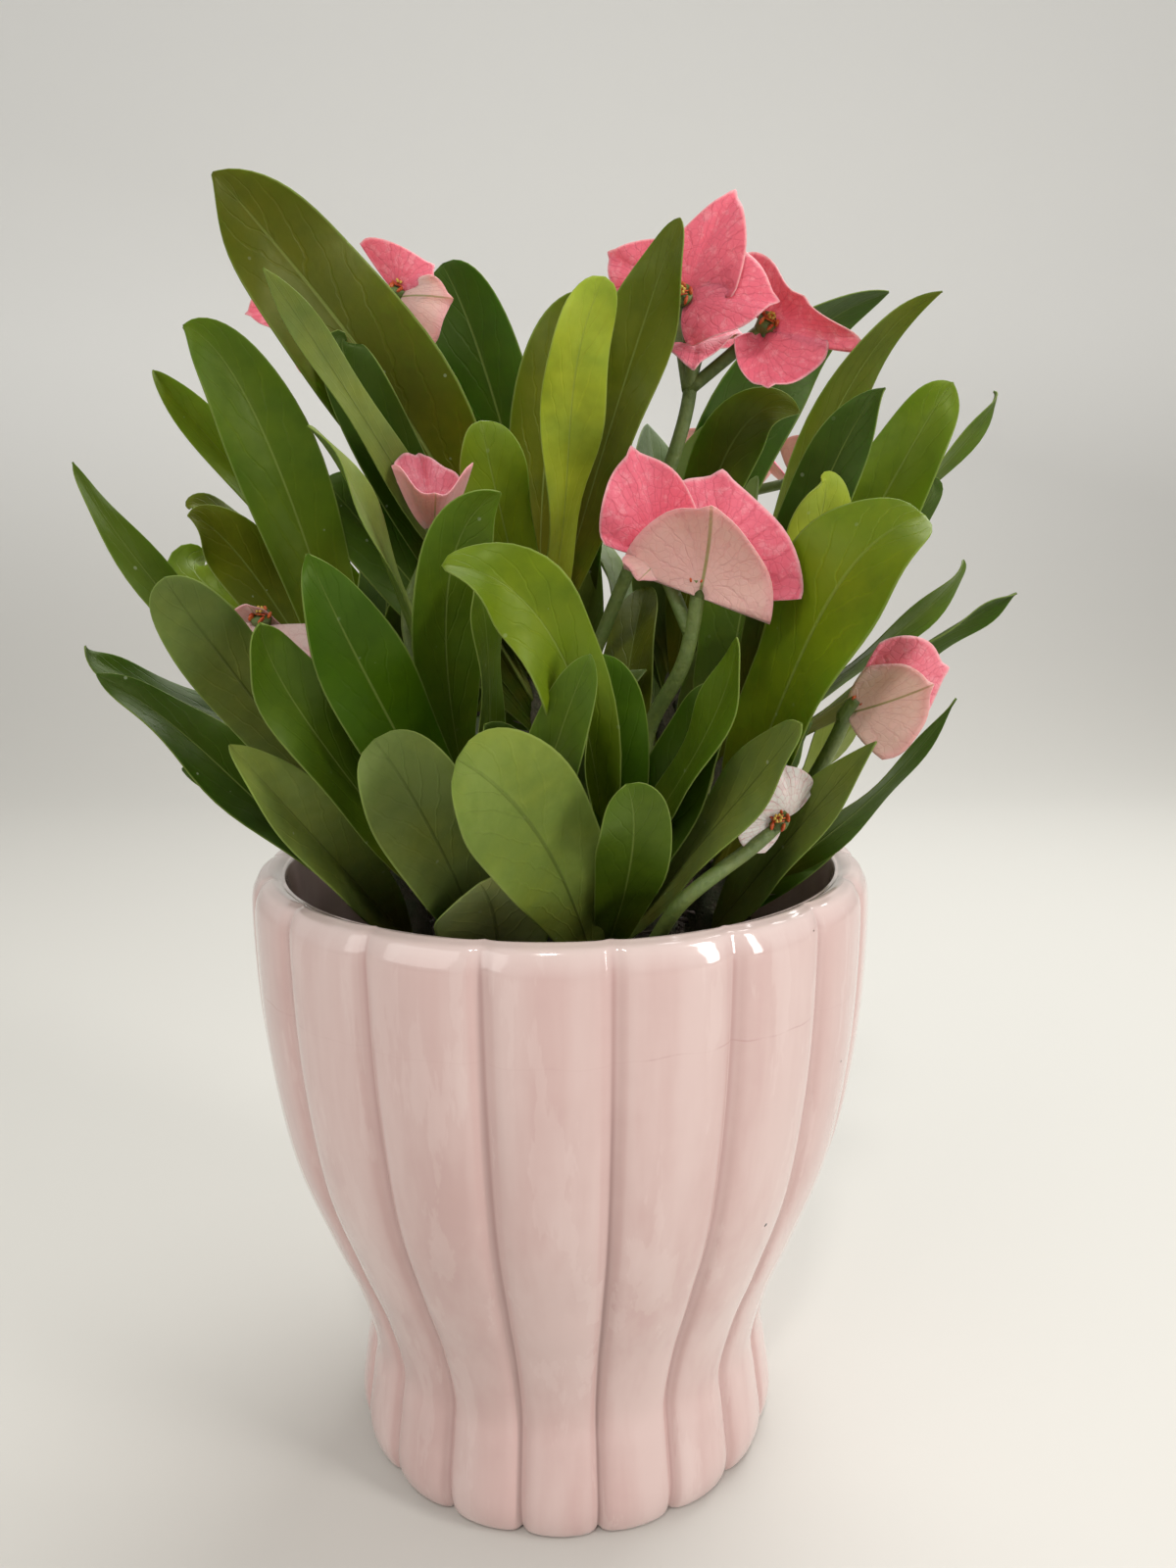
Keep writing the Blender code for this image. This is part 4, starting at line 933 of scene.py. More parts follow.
@dataclass(frozen=True)
class Glaze:
    """Glossy pale pink glaze: thin and whiter on the lobes and lip, pooled pinker in the grooves with painted
    shade there, and painted reflection streaks on the lobes.
    """

    effects: SharedEffects
    body: Colour = (0.600, 0.412, 0.388)
    cloudy: Colour = (0.550, 0.362, 0.340)
    pooled_and_painted_shade: Colour = (0.47, 0.265, 0.250)
    # Colour of thin glaze, also used for the painted reflection streaks
    thin: Colour = (0.74, 0.60, 0.57)
    hairline: Colour = (0.42, 0.22, 0.20)
    pinhole: Colour = (0.02, 0.015, 0.012)
    cloudy_share: float = 0.6
    painted_reflection_share: float = 0.20
    crown_share: float = 0.45
    pooled_and_painted_shade_share: float = 0.55
    lip_share: float = 0.75
    crack_height: float = 0.1215
    crack_drift: float = 0.008
    roughness: float = 0.09

    def material(self) -> Material:
        """Builds the material from the wall's groove and lip attributes and Object coordinates.

        Returns:
            The finished material.
        """
        material, graph, shader = new_material("pink_glaze")
        groove, lip = graph.attribute("groove"), graph.attribute("lip")
        streak = graph.noise(graph.stretched((60.0, 60.0, 7.0)), 1.0, 4.0, 0.6)
        cloud = graph.group(self.effects.mottle, Scale=22.0, Low=0.40, High=0.62).outputs[0]
        colour = graph.mix(graph.times(cloud, self.cloudy_share), self.body, self.cloudy)
        # Painted reflection: pale, sharp-edged vertical streaks on the lobes, in the thin glaze's colour, stand
        # for a window reflected in the gloss.
        reflection_streaks = graph.noise(graph.stretched((95.0, 95.0, 17.0)), 1.0, 5.0, 0.62)
        painted_reflection = graph.times(graph.span(reflection_streaks, 0.545, 0.575), graph.span(groove, 0.55, 0.35))
        colour = graph.mix(graph.times(painted_reflection, self.painted_reflection_share), colour, self.thin)
        crown = graph.times(graph.span(groove, 0.25, 0.0), graph.span(streak, 0.35, 0.65))
        colour = graph.mix(graph.times(crown, self.crown_share), colour, self.thin)
        # Partly painted shade: the grooves are darker as well as pinker, for the shade that falls in them
        # besides the glaze that pools there.
        colour = graph.mix(graph.times(graph.span(groove, 0.60, 1.0), self.pooled_and_painted_shade_share), colour, self.pooled_and_painted_shade)
        colour = graph.mix(graph.times(lip, self.lip_share), colour, self.thin)
        place = graph.place()
        level = graph.node("ShaderNodeSeparateXYZ", {0: place}).outputs["Z"]
        drift = graph.times(graph.noise(place, 30.0, 3.0), self.crack_drift)
        crack = graph.math("ABSOLUTE", graph.minus(graph.plus(level, drift), self.crack_height))
        crack = graph.times(graph.span(crack, 0.00022, 0.0001), graph.span(cloud, 0.3, 0.9, 0.05, 0.35))
        colour = graph.mix(crack, colour, self.hairline)
        holes = graph.group(self.effects.specks, Scale=120.0, Size=0.055, Share=0.045).outputs[0]
        colour = graph.mix(holes, colour, self.pinhole)
        graph.link(colour, shader.inputs["Base Color"])
        graph.link(graph.plus(graph.times(streak, 0.05), self.roughness), shader.inputs["Roughness"])
        shader.inputs["Coat Weight"].default_value = 0.6
        shader.inputs["Coat Roughness"].default_value = 0.03
        ripple = graph.noise(graph.stretched((45.0, 45.0, 16.0)), 1.0, 2.0)
        graph.bump(shader, graph.plus(ripple, graph.times(holes, -0.5)), strength=0.35, distance=0.0012)
        return material


@dataclass(frozen=True)
class SoilFinish:
    """Dark moist peat with a few paler grains."""

    effects: SharedEffects
    peat: Colour = (0.020, 0.013, 0.008)
    fibre: Colour = (0.055, 0.034, 0.020)
    pale_grain: Colour = (0.20, 0.17, 0.13)
    pale_from: float = 0.95
    roughness: float = 0.95

    def material(self) -> Material:
        """Builds the material from each grain's own shade and Object coordinates.

        Returns:
            The finished material.
        """
        material, graph, shader = new_material("soil")
        grain = graph.attribute("grain")
        mask = graph.group(self.effects.mottle, Scale=400.0, Low=0.40, High=0.62).outputs[0]
        colour = graph.mix(mask, self.peat, self.fibre)
        colour = graph.mix(graph.times(grain, 0.6), colour, self.fibre)
        colour = graph.mix(graph.math("GREATER_THAN", grain, self.pale_from), colour, self.pale_grain)
        graph.link(colour, shader.inputs["Base Color"])
        graph.link(graph.plus(graph.times(mask, -0.15), self.roughness), shader.inputs["Roughness"])
        graph.bump(shader, mask, strength=0.7, distance=0.0006)
        return material


class MeshMaker:
    """Collects closed forms into one mesh, with the attributes that the finishes read."""

    def __init__(self) -> None:
        """Starts with no points and no faces."""
        self.points: list[np.ndarray] = []
        self.faces: list[tuple[int, ...]] = []
        self.values: dict[str, list[np.ndarray]] = {"side": [], "along": [], "across": [], "tone": []}
        self.count = 0

    def add(self, points: np.ndarray, faces: Sequence[Sequence[int]], **values: Any) -> None:
        """Adds one closed form.

        Args:
            points: Its points, mm.
            faces: Its faces, as numbers into these points.
            **values: A value for each point, or one for all, for each attribute.
        """
        self.points.append(points)
        self.faces.extend(tuple(int(i) + self.count for i in face) for face in faces)
        for name, stored in self.values.items():
            width = 3 if name == "tone" else 1
            value = np.asarray(values.get(name, 0.0), float)
            if value.ndim == 0 or value.shape == (3,):
                value = np.broadcast_to(value, (len(points), width))
            stored.append(value.reshape(len(points), width))
        self.count += len(points)

    def add_blade(
        self, grid: np.ndarray, thickness: np.ndarray, across: np.ndarray, front: Colour, back: Colour,
        upper_in_front: bool = True,
    ) -> None:
        """Adds a thin closed blade, centred on a grid of points.

        Args:
            grid: Rows by places by 3, mm, from foot to tip.
            thickness: Rows by places, mm.
            across: Place of each column, or of each row and column, from -1 to 1.
            front: Colour of the face that the rows' right-hand normal points to.
            back: Colour of the other face.
            upper_in_front: Whether the front face is the upper one.
        """
        rows, columns = grid.shape[:2]
        normals = np.cross(np.gradient(grid, axis=1), np.gradient(grid, axis=0))
        normals /= np.maximum(np.linalg.norm(normals, axis=2, keepdims=True), 1e-9)
        shift = normals * thickness[..., None] / 2
        number = np.arange(rows * columns).reshape(rows, columns)
        other = number + rows * columns
        corners = [(number[:-1, :-1], number[:-1, 1:], number[1:, 1:], number[1:, :-1])]
        corners += [(other[1:, :-1], other[1:, 1:], other[:-1, 1:], other[:-1, :-1])]
        corners += [(number[:-1, 0], number[1:, 0], other[1:, 0], other[:-1, 0])]
        corners += [(number[:-1, -1], other[:-1, -1], other[1:, -1], number[1:, -1])]
        corners += [(number[0, :-1], other[0, :-1], other[0, 1:], number[0, 1:])]
        corners += [(number[-1, :-1], number[-1, 1:], other[-1, 1:], other[-1, :-1])]
        faces = np.concatenate([np.stack([c.ravel() for c in four], axis=1) for four in corners])
        side = np.repeat((1.0, 0.0) if upper_in_front else (0.0, 1.0), rows * columns)
        along = np.repeat(np.linspace(0, 1, rows), columns)
        self.add(
            np.concatenate([(grid + shift).reshape(-1, 3), (grid - shift).reshape(-1, 3)]), faces, side=side,
            along=np.tile(along, 2), across=np.tile(np.broadcast_to(across, (rows, columns)).ravel(), 2),
            tone=np.repeat(np.array((front, back)), rows * columns, axis=0),
        )

    def add_tube(self, route: np.ndarray, radii: np.ndarray, segments: int, **values: Any) -> None:
        """Adds a closed tube along a route.

        Args:
            route: Points of its centre line, mm.
            radii: Its radius at each point, or at each point and side, mm.
            segments: Number of sides.
            **values: Attributes, as for add; along runs from 0 to 1 by itself.
        """
        tangents = np.gradient(route, axis=0)
        tangents /= np.linalg.norm(tangents, axis=1, keepdims=True)
        side = unit(np.cross(tangents[0], (0.31, 0.83, 0.46)))
        rings = []
        angles = np.arange(segments) * 2 * pi / segments
        for point, tangent, radius in zip(route, tangents, radii):
            side = unit(side - tangent * (side @ tangent))
            other = np.cross(tangent, side)
            reach = np.asarray(radius) * np.ones(segments)
            ring = np.outer(np.cos(angles), side) + np.outer(np.sin(angles), other)
            rings.append(point + ring * reach[:, None])
        last = (len(route) - 1) * segments
        faces: list[Sequence[int]] = []
        for ring in range(len(route) - 1):
            for k in range(segments):
                low, high = ring * segments + k, ring * segments + (k + 1) % segments
                faces.append((low, high, high + segments, low + segments))
        faces.append(tuple(reversed(range(segments))))
        faces.append(tuple(range(last, last + segments)))
        along = np.repeat(np.linspace(0, 1, len(route)), segments)
        self.add(np.concatenate(rings), faces, **{"along": along, **values})

    def piece(self, name: str, material: Material) -> Piece:
        """The collected mesh as an object in metres, at the origin.

        Args:
            name: The piece's name.
            material: Its finish.

        Returns:
            The piece, in the scene.
        """
        mesh = bpy.data.meshes.new(name)
        mesh.from_pydata(np.concatenate(self.points) * MM, [], self.faces)
        for label, stored in self.values.items():
            joined = np.concatenate(stored)
            kind, field = ("FLOAT_COLOR", "color") if label == "tone" else ("FLOAT", "value")
            layer = mesh.attributes.new(label, kind, "POINT")
            if label == "tone":
                joined = np.concatenate([joined, np.ones((len(joined), 1))], axis=1)
            layer.data.foreach_set(field, joined.astype(np.float32).ravel())
        mesh.materials.append(material)
        mesh.shade_smooth()
        return placed(name, mesh)


def smooth_route(points: Sequence[Any], steps: int) -> np.ndarray:
    """A smooth line through the points.

    Args:
        points: The points that it passes, mm.
        steps: The number of steps between each two of them.

    Returns:
        The line's points, mm.
    """
    known = [np.array(p, float) for p in points]
    known = [2 * known[0] - known[1], *known, 2 * known[-1] - known[-2]]
    line = []
    for a, b, c, d in zip(known, known[1:], known[2:], known[3:]):
        square, cube = 2 * a - 5 * b + 4 * c - d, 3 * b - a - 3 * c + d
        line += [0.5 * (2 * b + (c - a) * t + square * t**2 + cube * t**3) for t in np.arange(steps) / steps]
    return np.array([*line, known[-2]])


def turned_rings(profile: Sequence[Sequence[float]], angles: np.ndarray) -> list[np.ndarray]:
    """A level ring of points round the upright axis at each radius and height of a profile, mm."""
    return [
        np.stack([np.cos(angles) * radius, np.sin(angles) * radius, np.full(len(angles), height)], axis=1)
        for radius, height in profile
    ]


def ring_faces(rows: int, columns: int) -> list[tuple[int, ...]]:
    """The faces between rings of points that follow each other.

    Args:
        rows: Number of rings.
        columns: Number of points in each ring.

    Returns:
        Each face as four numbers of points, ring by ring.
    """
    faces: list[tuple[int, ...]] = []
    for row in range(rows - 1):
        for k in range(columns):
            nearer, farther = row * columns + k, row * columns + (k + 1) % columns
            faces.append((nearer, nearer + columns, farther + columns, farther))
    return faces


def placed(name: str, data: bpy.types.ID) -> Piece:
    """Puts a new object in the scene.

    Args:
        name: The object's name.
        data: Its mesh, light or camera.

    Returns:
        The object.
    """
    obj = bpy.data.objects.new(name, data)
    bpy.context.scene.collection.objects.link(obj)
    return obj


def plain_piece(
    name: str, points: np.ndarray, faces: Sequence[Sequence[int]], material: Material, **values: Any,
) -> Piece:
    """A smooth mesh in metres, at the origin.

    Args:
        name: The piece's name.
        points: Its points, mm.
        faces: Its faces, as numbers into the points.
        material: Its finish.
        **values: A number for each point, for each attribute.

    Returns:
        The piece, in the scene.
    """
    mesh = bpy.data.meshes.new(name)
    mesh.from_pydata(points * MM, [], faces)
    for label, stored in values.items():
        mesh.attributes.new(label, "FLOAT", "POINT").data.foreach_set("value", np.array(stored, np.float32))
    mesh.materials.append(material)
    mesh.shade_smooth()
    return placed(name, mesh)


def ruled(obj: Piece, tree: Tree, **inputs: Any) -> Piece:
    """Runs a geometry tree on an object and keeps the result as its plain mesh.

    Args:
        obj: The object, already in the scene.
        tree: The geometry tree.
        **inputs: Values for the tree's named inputs (underscores stand for spaces).

    Returns:
        The same object, with the tree's result as its mesh and no modifier.
    """
    modifier = obj.modifiers.new("Rule", "NODES")
    modifier.node_group = tree
    for item in tree.interface.items_tree:
        key = item.name.replace(" ", "_")
        if item.item_type == "SOCKET" and item.in_out == "INPUT" and key in inputs:
            modifier[item.identifier] = inputs[key]
    graph = bpy.context.evaluated_depsgraph_get()
    result = bpy.data.meshes.new_from_object(
        obj.evaluated_get(graph), preserve_all_data_layers=True, depsgraph=graph
    )
    obj.modifiers.remove(modifier)
    plain = obj.data
    obj.data = result
    bpy.data.meshes.remove(plain)
    result.name = obj.name
    return obj


def joined(pieces: Sequence[Piece]) -> Piece:
    """Joins several objects into the first one, each with its own material.

    Args:
        pieces: The objects, already in the scene.

    Returns:
        The first object, which now holds them all.
    """
    with bpy.context.temp_override(
        active_object=pieces[0], object=pieces[0], selected_objects=list(pieces),
        selected_editable_objects=list(pieces),
    ):
        bpy.ops.object.join()
    return pieces[0]


def declared(piece: Piece, node: str, slot: str) -> None:
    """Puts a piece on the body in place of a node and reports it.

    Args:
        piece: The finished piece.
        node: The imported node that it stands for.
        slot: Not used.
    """
    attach(piece, "root")
    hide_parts(node)
    LOG.info("%s: %d faces, stands for %s", piece.name, len(piece.data.polygons), node)


class GeometryGraph(Graph):
    """A graph on a new geometry tree, which takes a mesh and a material and gives a finished mesh."""

    def __init__(self, name: str, inputs: dict[str, Any]) -> None:
        """Makes the tree.

        Args:
            name: The tree's name.
            inputs: The default of each input, besides the mesh and the material.
        """
        sockets = {"Geometry": "NodeSocketGeometry", **inputs, "Material": "NodeSocketMaterial"}
        super().__init__(new_group(name, "GeometryNodeTree", sockets, {"Geometry": "NodeSocketGeometry"}))
        self.given = self.tree.nodes["Group Input"].outputs

    def named(self, name: str, kind: str = "FLOAT") -> Socket:
        """A named attribute of the geometry."""
        return self.first("GeometryNodeInputNamedAttribute", {"Name": name}, data_type=kind)

    def position(self) -> Socket:
        """The place of each point."""
        return self.first("GeometryNodeInputPosition")

    def vector(self, x: Any = 0.0, y: Any = 0.0, z: Any = 0.0) -> Socket:
        """A vector of three values."""
        return self.first("ShaderNodeCombineXYZ", {0: x, 1: y, 2: z})

    def scaled(self, vector: Any, factor: Any) -> Socket:
        """A vector times a number."""
        return self.first("ShaderNodeVectorMath", {0: vector, "Scale": factor}, operation="SCALE")

    def random(self, low: Point, high: Point, seed: Any) -> Socket:
        """A random vector for each instance, between two vectors."""
        inputs = {0: low, 1: high, "Seed": seed}
        return self.first("FunctionNodeRandomValue", inputs, data_type="FLOAT_VECTOR")

    def turned_to(self, vector: Any, axis: str) -> Socket:
        """The rotation that turns an axis to a vector."""
        return self.first("FunctionNodeAlignRotationToVector", {"Vector": vector}, axis=axis)

    def moved(self, geometry: Any, offset: Any) -> Socket:
        """The geometry with each point moved by an offset."""
        return self.first("GeometryNodeSetPosition", {"Geometry": geometry, "Offset": offset})

    def stored(self, geometry: Any, name: str, value: Any, domain: str = "POINT") -> Socket:
        """The geometry with a named value on each point or instance."""
        inputs = {"Geometry": geometry, "Name": name, "Value": value}
        return self.first("GeometryNodeStoreNamedAttribute", inputs, data_type="FLOAT", domain=domain)

    def instances(self, points: Any, thing: Any, **inputs: Any) -> Socket:
        """A thing on each point, with more inputs of Instance on Points."""
        on_points = {"Points": points, "Instance": thing, **inputs}
        return self.first("GeometryNodeInstanceOnPoints", on_points)

    def on_sites(self, thing: Any, **inputs: Any) -> Tree:
        """Stands a thing on each site, its Z axis along the site's own direction, and ends the tree.

        Args:
            thing: The socket with the geometry of one thing.
            **inputs: More inputs of Instance on Points.

        Returns:
            The tree.
        """
        spots = self.first("GeometryNodeMeshToPoints", {"Mesh": self.given["Geometry"]})
        turn = self.turned_to(self.named("out", "FLOAT_VECTOR"), "Z")
        things = self.instances(spots, thing, Rotation=turn, **inputs)
        return self.end(self.first("GeometryNodeSetShadeSmooth", {"Geometry": things}))

    def end(self, geometry: Any) -> Tree:
        """Ends the tree in Realize Instances and Set Material.

        Args:
            geometry: The socket with the finished geometry.

        Returns:
            The tree.
        """
        real = self.first("GeometryNodeRealizeInstances", {"Geometry": geometry})
        dressed = self.node("GeometryNodeSetMaterial", {"Geometry": real, "Material": self.given["Material"]})
        self.link(dressed.outputs[0], self.tree.nodes["Group Output"].inputs[0])
        return self.tree


class GeometryRules:
    """The geometry trees: the pot's flutes, the soil's grit, thorns on a stem and whorls in a flower."""

    def __init__(self) -> None:
        """Builds each tree once."""
        self.flutes = self._flutes()
        self.grit = self._grit()
        self.thorns = self._thorns()
        self.whorl = self._whorl()

    def _flutes(self) -> Tree:
        """Draws a turned wall in between its lobes, by each point's own depth, and stores where it creases.

        Returns:
            The tree.
        """
        sizes = {"Lobes": 18.0, "Phase": 0.0, "Roundness": 2.0, "Crease": 8.0, "Crease Share": 0.6}
        graph = GeometryGraph("Flutes", sizes)
        given = graph.given
        place = graph.node("ShaderNodeSeparateXYZ", {0: graph.position()})
        x, y = place.outputs[0], place.outputs[1]
        angle = graph.plus(graph.math("ARCTAN2", y, x), graph.plus(given["Phase"], pi / 2))
        turns = graph.times(angle, graph.math("DIVIDE", given["Lobes"], 2 * pi))
        off_lobe = graph.math("ABSOLUTE", graph.minus(turns, graph.math("ROUND", turns)))
        across = graph.times(off_lobe, 2.0)
        crease = graph.math("POWER", across, given["Crease"])
        rounded = graph.math("POWER", across, given["Roundness"])
        swell = graph.times(rounded, graph.minus(1.0, given["Crease Share"]))
        inward = graph.plus(swell, graph.times(crease, given["Crease Share"]))
        depth = graph.named("depth")
        level = graph.vector(x, y)
        outward = graph.first("ShaderNodeVectorMath", {0: level}, operation="NORMALIZE")
        shift = graph.scaled(outward, graph.times(graph.times(inward, depth), -1.0))
        wall = graph.math("GREATER_THAN", depth, 0.0)
        moved = graph.moved(given["Geometry"], shift)
        marked = graph.stored(moved, "groove", graph.times(crease, wall))
        return graph.end(marked)

    def _grit(self) -> Tree:
        """Makes the top of a bed uneven and strews it with grains.

        Returns:
            The tree.
        """
        sizes = {"Relief": 0.003, "Grain Size": 0.001, "Grain Density": 200000.0, "Seed": 3}
        graph = GeometryGraph("Grit", sizes)
        given = graph.given
        place = graph.position()
        lumps = graph.minus(graph.noise(place, 160.0, 3.0), 0.5)
        top = graph.named("top")
        lift = graph.vector(z=graph.times(graph.times(lumps, given["Relief"]), top))
        bed = graph.moved(given["Geometry"], lift)
        spots = graph.node("GeometryNodeDistributePointsOnFaces", {
            "Mesh": bed, "Selection": graph.math("GREATER_THAN", top, 0.5), "Density": given["Grain Density"],
            "Seed": given["Seed"],
        })
        grain = graph.node("GeometryNodeMeshIcoSphere", {"Radius": 1.0, "Subdivisions": 1})
        size = graph.random(GRAIN_LEAST, GRAIN_MOST, given["Seed"])
        turn = graph.random((0.0, 0.0, 0.0), GRAIN_TURN, given["Seed"])
        scale = graph.scaled(size, given["Grain Size"])
        grains = graph.instances(spots.outputs[0], grain.outputs[0], Rotation=turn, Scale=scale)
        shades = {2: 0.0, 3: 1.0, "Seed": given["Seed"]}
        shade = graph.node("FunctionNodeRandomValue", shades, data_type="FLOAT")
        marked = graph.stored(grains, "grain", shade.outputs[1], "INSTANCE")
        both = graph.node("GeometryNodeJoinGeometry")
        for part in (bed, marked):
            graph.link(part, both.inputs[0])
        return graph.end(both.outputs[0])

    def _thorns(self) -> Tree:
        """Sets a slender thorn on each site, along the site's own direction and to its own reach.

        Returns:
            The tree.
        """
        graph = GeometryGraph("Thorns", {"Thorn Radius": 0.001})
        cone = graph.node("GeometryNodeMeshCone", {
            "Vertices": 8, "Side Segments": 5, "Radius Top": THORN_POINT, "Radius Bottom": 1.0, "Depth": 1.0,
        })
        place = graph.node("ShaderNodeSeparateXYZ", {0: graph.position()})
        waist = graph.times(graph.math("SINE", graph.times(place.outputs[2], pi)), -THORN_WAIST)
        drawn = graph.scaled(graph.vector(place.outputs[0], place.outputs[1]), waist)
        slim = graph.moved(cone.outputs[0], drawn)
        radius = graph.given["Thorn Radius"]
        size = graph.vector(radius, radius, graph.named("reach"))
        return graph.on_sites(slim, Scale=size)

    def _whorl(self) -> Tree:
        """Sets a ring of small ovals round each site's own axis, such as glands or stamens.

        Returns:
            The tree.
        """
        sizes = {"Count": 5, "Ring Radius": 0.0015, "Height": 0.003, "Oval Size": (0.001, 0.001, 0.0005)}
        graph = GeometryGraph("Whorl", sizes)
        given = graph.given
        circle = {"Vertices": given["Count"], "Radius": given["Ring Radius"]}
        ring = graph.node("GeometryNodeMeshCircle", circle)
        raised = graph.moved(ring.outputs[0], graph.vector(z=given["Height"]))
        outward = graph.turned_to(graph.position(), "X")
        oval = graph.node("GeometryNodeMeshUVSphere", {"Segments": 8, "Rings": 5, "Radius": 1.0})
        ovals = graph.instances(raised, oval.outputs[0], Rotation=outward, Scale=given["Oval Size"])
        return graph.on_sites(ovals)


def sites(
    name: str, places: Sequence[np.ndarray], outward: Sequence[np.ndarray], reach: Sequence[float],
) -> Piece:
    """Loose points for a geometry tree to stand things on.

    Args:
        name: The object's name.
        places: The points, mm.
        outward: The direction of each.
        reach: The length of the thing on each, mm.

    Returns:
        The object, in the scene.
    """
    mesh = bpy.data.meshes.new(name)
    mesh.from_pydata([tuple(p * MM) for p in places], [], [])
    directions = mesh.attributes.new("out", "FLOAT_VECTOR", "POINT")
    directions.data.foreach_set("vector", np.array(outward, np.float32).ravel())
    reaches = mesh.attributes.new("reach", "FLOAT", "POINT")
    reaches.data.foreach_set("value", np.array(reach, np.float32) * np.float32(MM))
    return placed(name, mesh)


@dataclass(frozen=True)
class FloorFinish:
    """Plain pale matte paint, lighter towards the top of the backdrop as painted light, to make up for the
    light that falls off up there.
    """

    paint: Colour = (0.60, 0.585, 0.55)
    painted_light_top: Colour = (0.95, 0.945, 0.92)

    def material(self) -> Material:
        """Builds the material on Object coordinates.

        Returns:
            The finished material.
        """
        material, graph, shader = new_material("floor")
        place = graph.place()
        level = graph.node("ShaderNodeSeparateXYZ", {0: place}).outputs["Z"]
        # Painted light: the paint lightens with height, to even out the light that is weaker up the backdrop.
        share = graph.span(level, 0.0, 0.55)
        graph.link(graph.mix(share, self.paint, self.painted_light_top), shader.inputs["Base Color"])
        shader.inputs["Roughness"].default_value = 0.75
        return material


# Colour, blotches' colour, blotches' scale, roughness and bump of each plain skin
BARK = ((0.12, 0.10, 0.065), (0.07, 0.085, 0.04), 240.0, 0.7, 0.8)
THORN = ((0.16, 0.13, 0.11), (0.08, 0.05, 0.045), 300.0, 0.45, 0.3)
STALK = ((0.13, 0.17, 0.035), (0.10, 0.15, 0.03), 180.0, 0.42, 0.3)
GLAND = ((0.55, 0.06, 0.012), (0.62, 0.14, 0.02), 700.0, 0.3, 0.3)
POLLEN = ((0.70, 0.42, 0.05), (0.75, 0.55, 0.12), 900.0, 0.6, 0.4)


@dataclass
class Finishes:
    """Every material of the plant, built once."""

    effects: SharedEffects

    def __post_init__(self) -> None:
        """Builds the materials."""
        effects = self.effects
        self.leaf = LeafFinish(effects).material()
        self.bract = BractFinish(effects).material()
        self.glaze = Glaze(effects).material()
        self.bark = SkinFinish(effects, "bark", *BARK).material()
        self.thorn = SkinFinish(effects, "thorn", *THORN).material()
        self.stalk = SkinFinish(effects, "stalk", *STALK).material()
        self.gland = SkinFinish(effects, "gland", *GLAND).material()
        self.pollen = SkinFinish(effects, "pollen", *POLLEN).material()
        self.soil = SoilFinish(effects).material()
        self.floor = FloorFinish().material()


@dataclass
class Pot:
    """The glazed fluted pot, a turned wall with a rounded lip and a flat foot, mm."""

    rules: GeometryRules
    finishes: Finishes
    floor: float = 12.0
    lobes: int = 18
    phase: float = radians(1)
    columns_per_lobe: int = 18
    roundness: float = 2.0
    crease: float = 9.0
    crease_share: float = 0.62
    lip_band: tuple[float, float] = (134.0, 139.0)
    outer: tuple[tuple[float, float], ...] = (
        (65.8, 140.0), (68.4, 138.2), (69.9, 131.0), (68.9, 105.0), (64.9, 79.0), (57.8, 58.0),
        (52.0, 43.0), (48.4, 29.0), (49.2, 20.0), (50.7, 8.5), (49.6, 2.4), (47.2, 0.0),
    )
    inner: tuple[tuple[float, float], ...] = (
        (42.0, 12.0), (48.0, 45.0), (60.0, 85.0), (61.5, 110.0), (61.9, 136.0), (63.4, 139.2),
    )
    groove_depth: tuple[tuple[float, float], ...] = (
        (0.0, 2.6), (29.0, 2.4), (60.0, 2.8), (100.0, 2.6), (130.0, 2.0), (140.0, 1.2),
    )

    def inner_radius(self, height: float) -> float:
        """The cavity's radius at a height, mm."""
        radii, heights = zip(*self.inner)
        return float(np.interp(height, heights, radii))

    def _profile(self) -> tuple[np.ndarray, np.ndarray]:
        """The wall's outline from the cavity's floor over the lip to the foot.

        Returns:
            Its radii and heights, mm, and for each of its points 1 on the outside and 0 in the cavity.
        """
        inside = smooth_route([(radius, height, 0) for radius, height in self.inner], 6)
        outside = smooth_route([(radius, height, 0) for radius, height in self.outer], 8)
        return np.concatenate([inside, outside])[:, :2], np.repeat((0.0, 1.0), (len(inside), len(outside)))

    def _turned(self) -> Piece:
        """The plain turned wall, with each point's groove depth and how near it is to the lip.

        Returns:
            The wall, still round.
        """
        profile, outside = self._profile()
        columns = self.lobes * self.columns_per_lobe
        angles = np.arange(columns) * 2 * pi / columns - pi / 2 - self.phase
        points = np.concatenate([*turned_rings(profile, angles), [(0, 0, self.floor)], [(0, 0, 0)]])
        heights, depths = zip(*self.groove_depth)
        depth = np.repeat(np.interp(profile[:, 1], heights, depths) * outside, columns)
        lip = np.repeat(np.interp(profile[:, 1], self.lip_band, (0.0, 1.0)), columns)
        rows = len(profile)
        faces = ring_faces(rows, columns)
        last = (rows - 1) * columns
        for k in range(columns):
            faces.append((rows * columns, k, (k + 1) % columns))
            faces.append((rows * columns + 1, last + (k + 1) % columns, last + k))
        return plain_piece(
            "pot_wall", points, faces, self.finishes.glaze, depth=np.append(depth, (0, 0)) * MM,
            lip=np.append(lip, (0, 0)),
        )

    def build(self) -> None:
        """Turns the wall, draws in its flutes and puts it in the node's place."""
        wall = ruled(
            self._turned(), self.rules.flutes, Lobes=float(self.lobes), Phase=self.phase,
            Roundness=self.roundness, Crease=self.crease, Crease_Share=self.crease_share,
            Material=self.finishes.glaze,
        )
        declared(wall, "pot", "glaze")


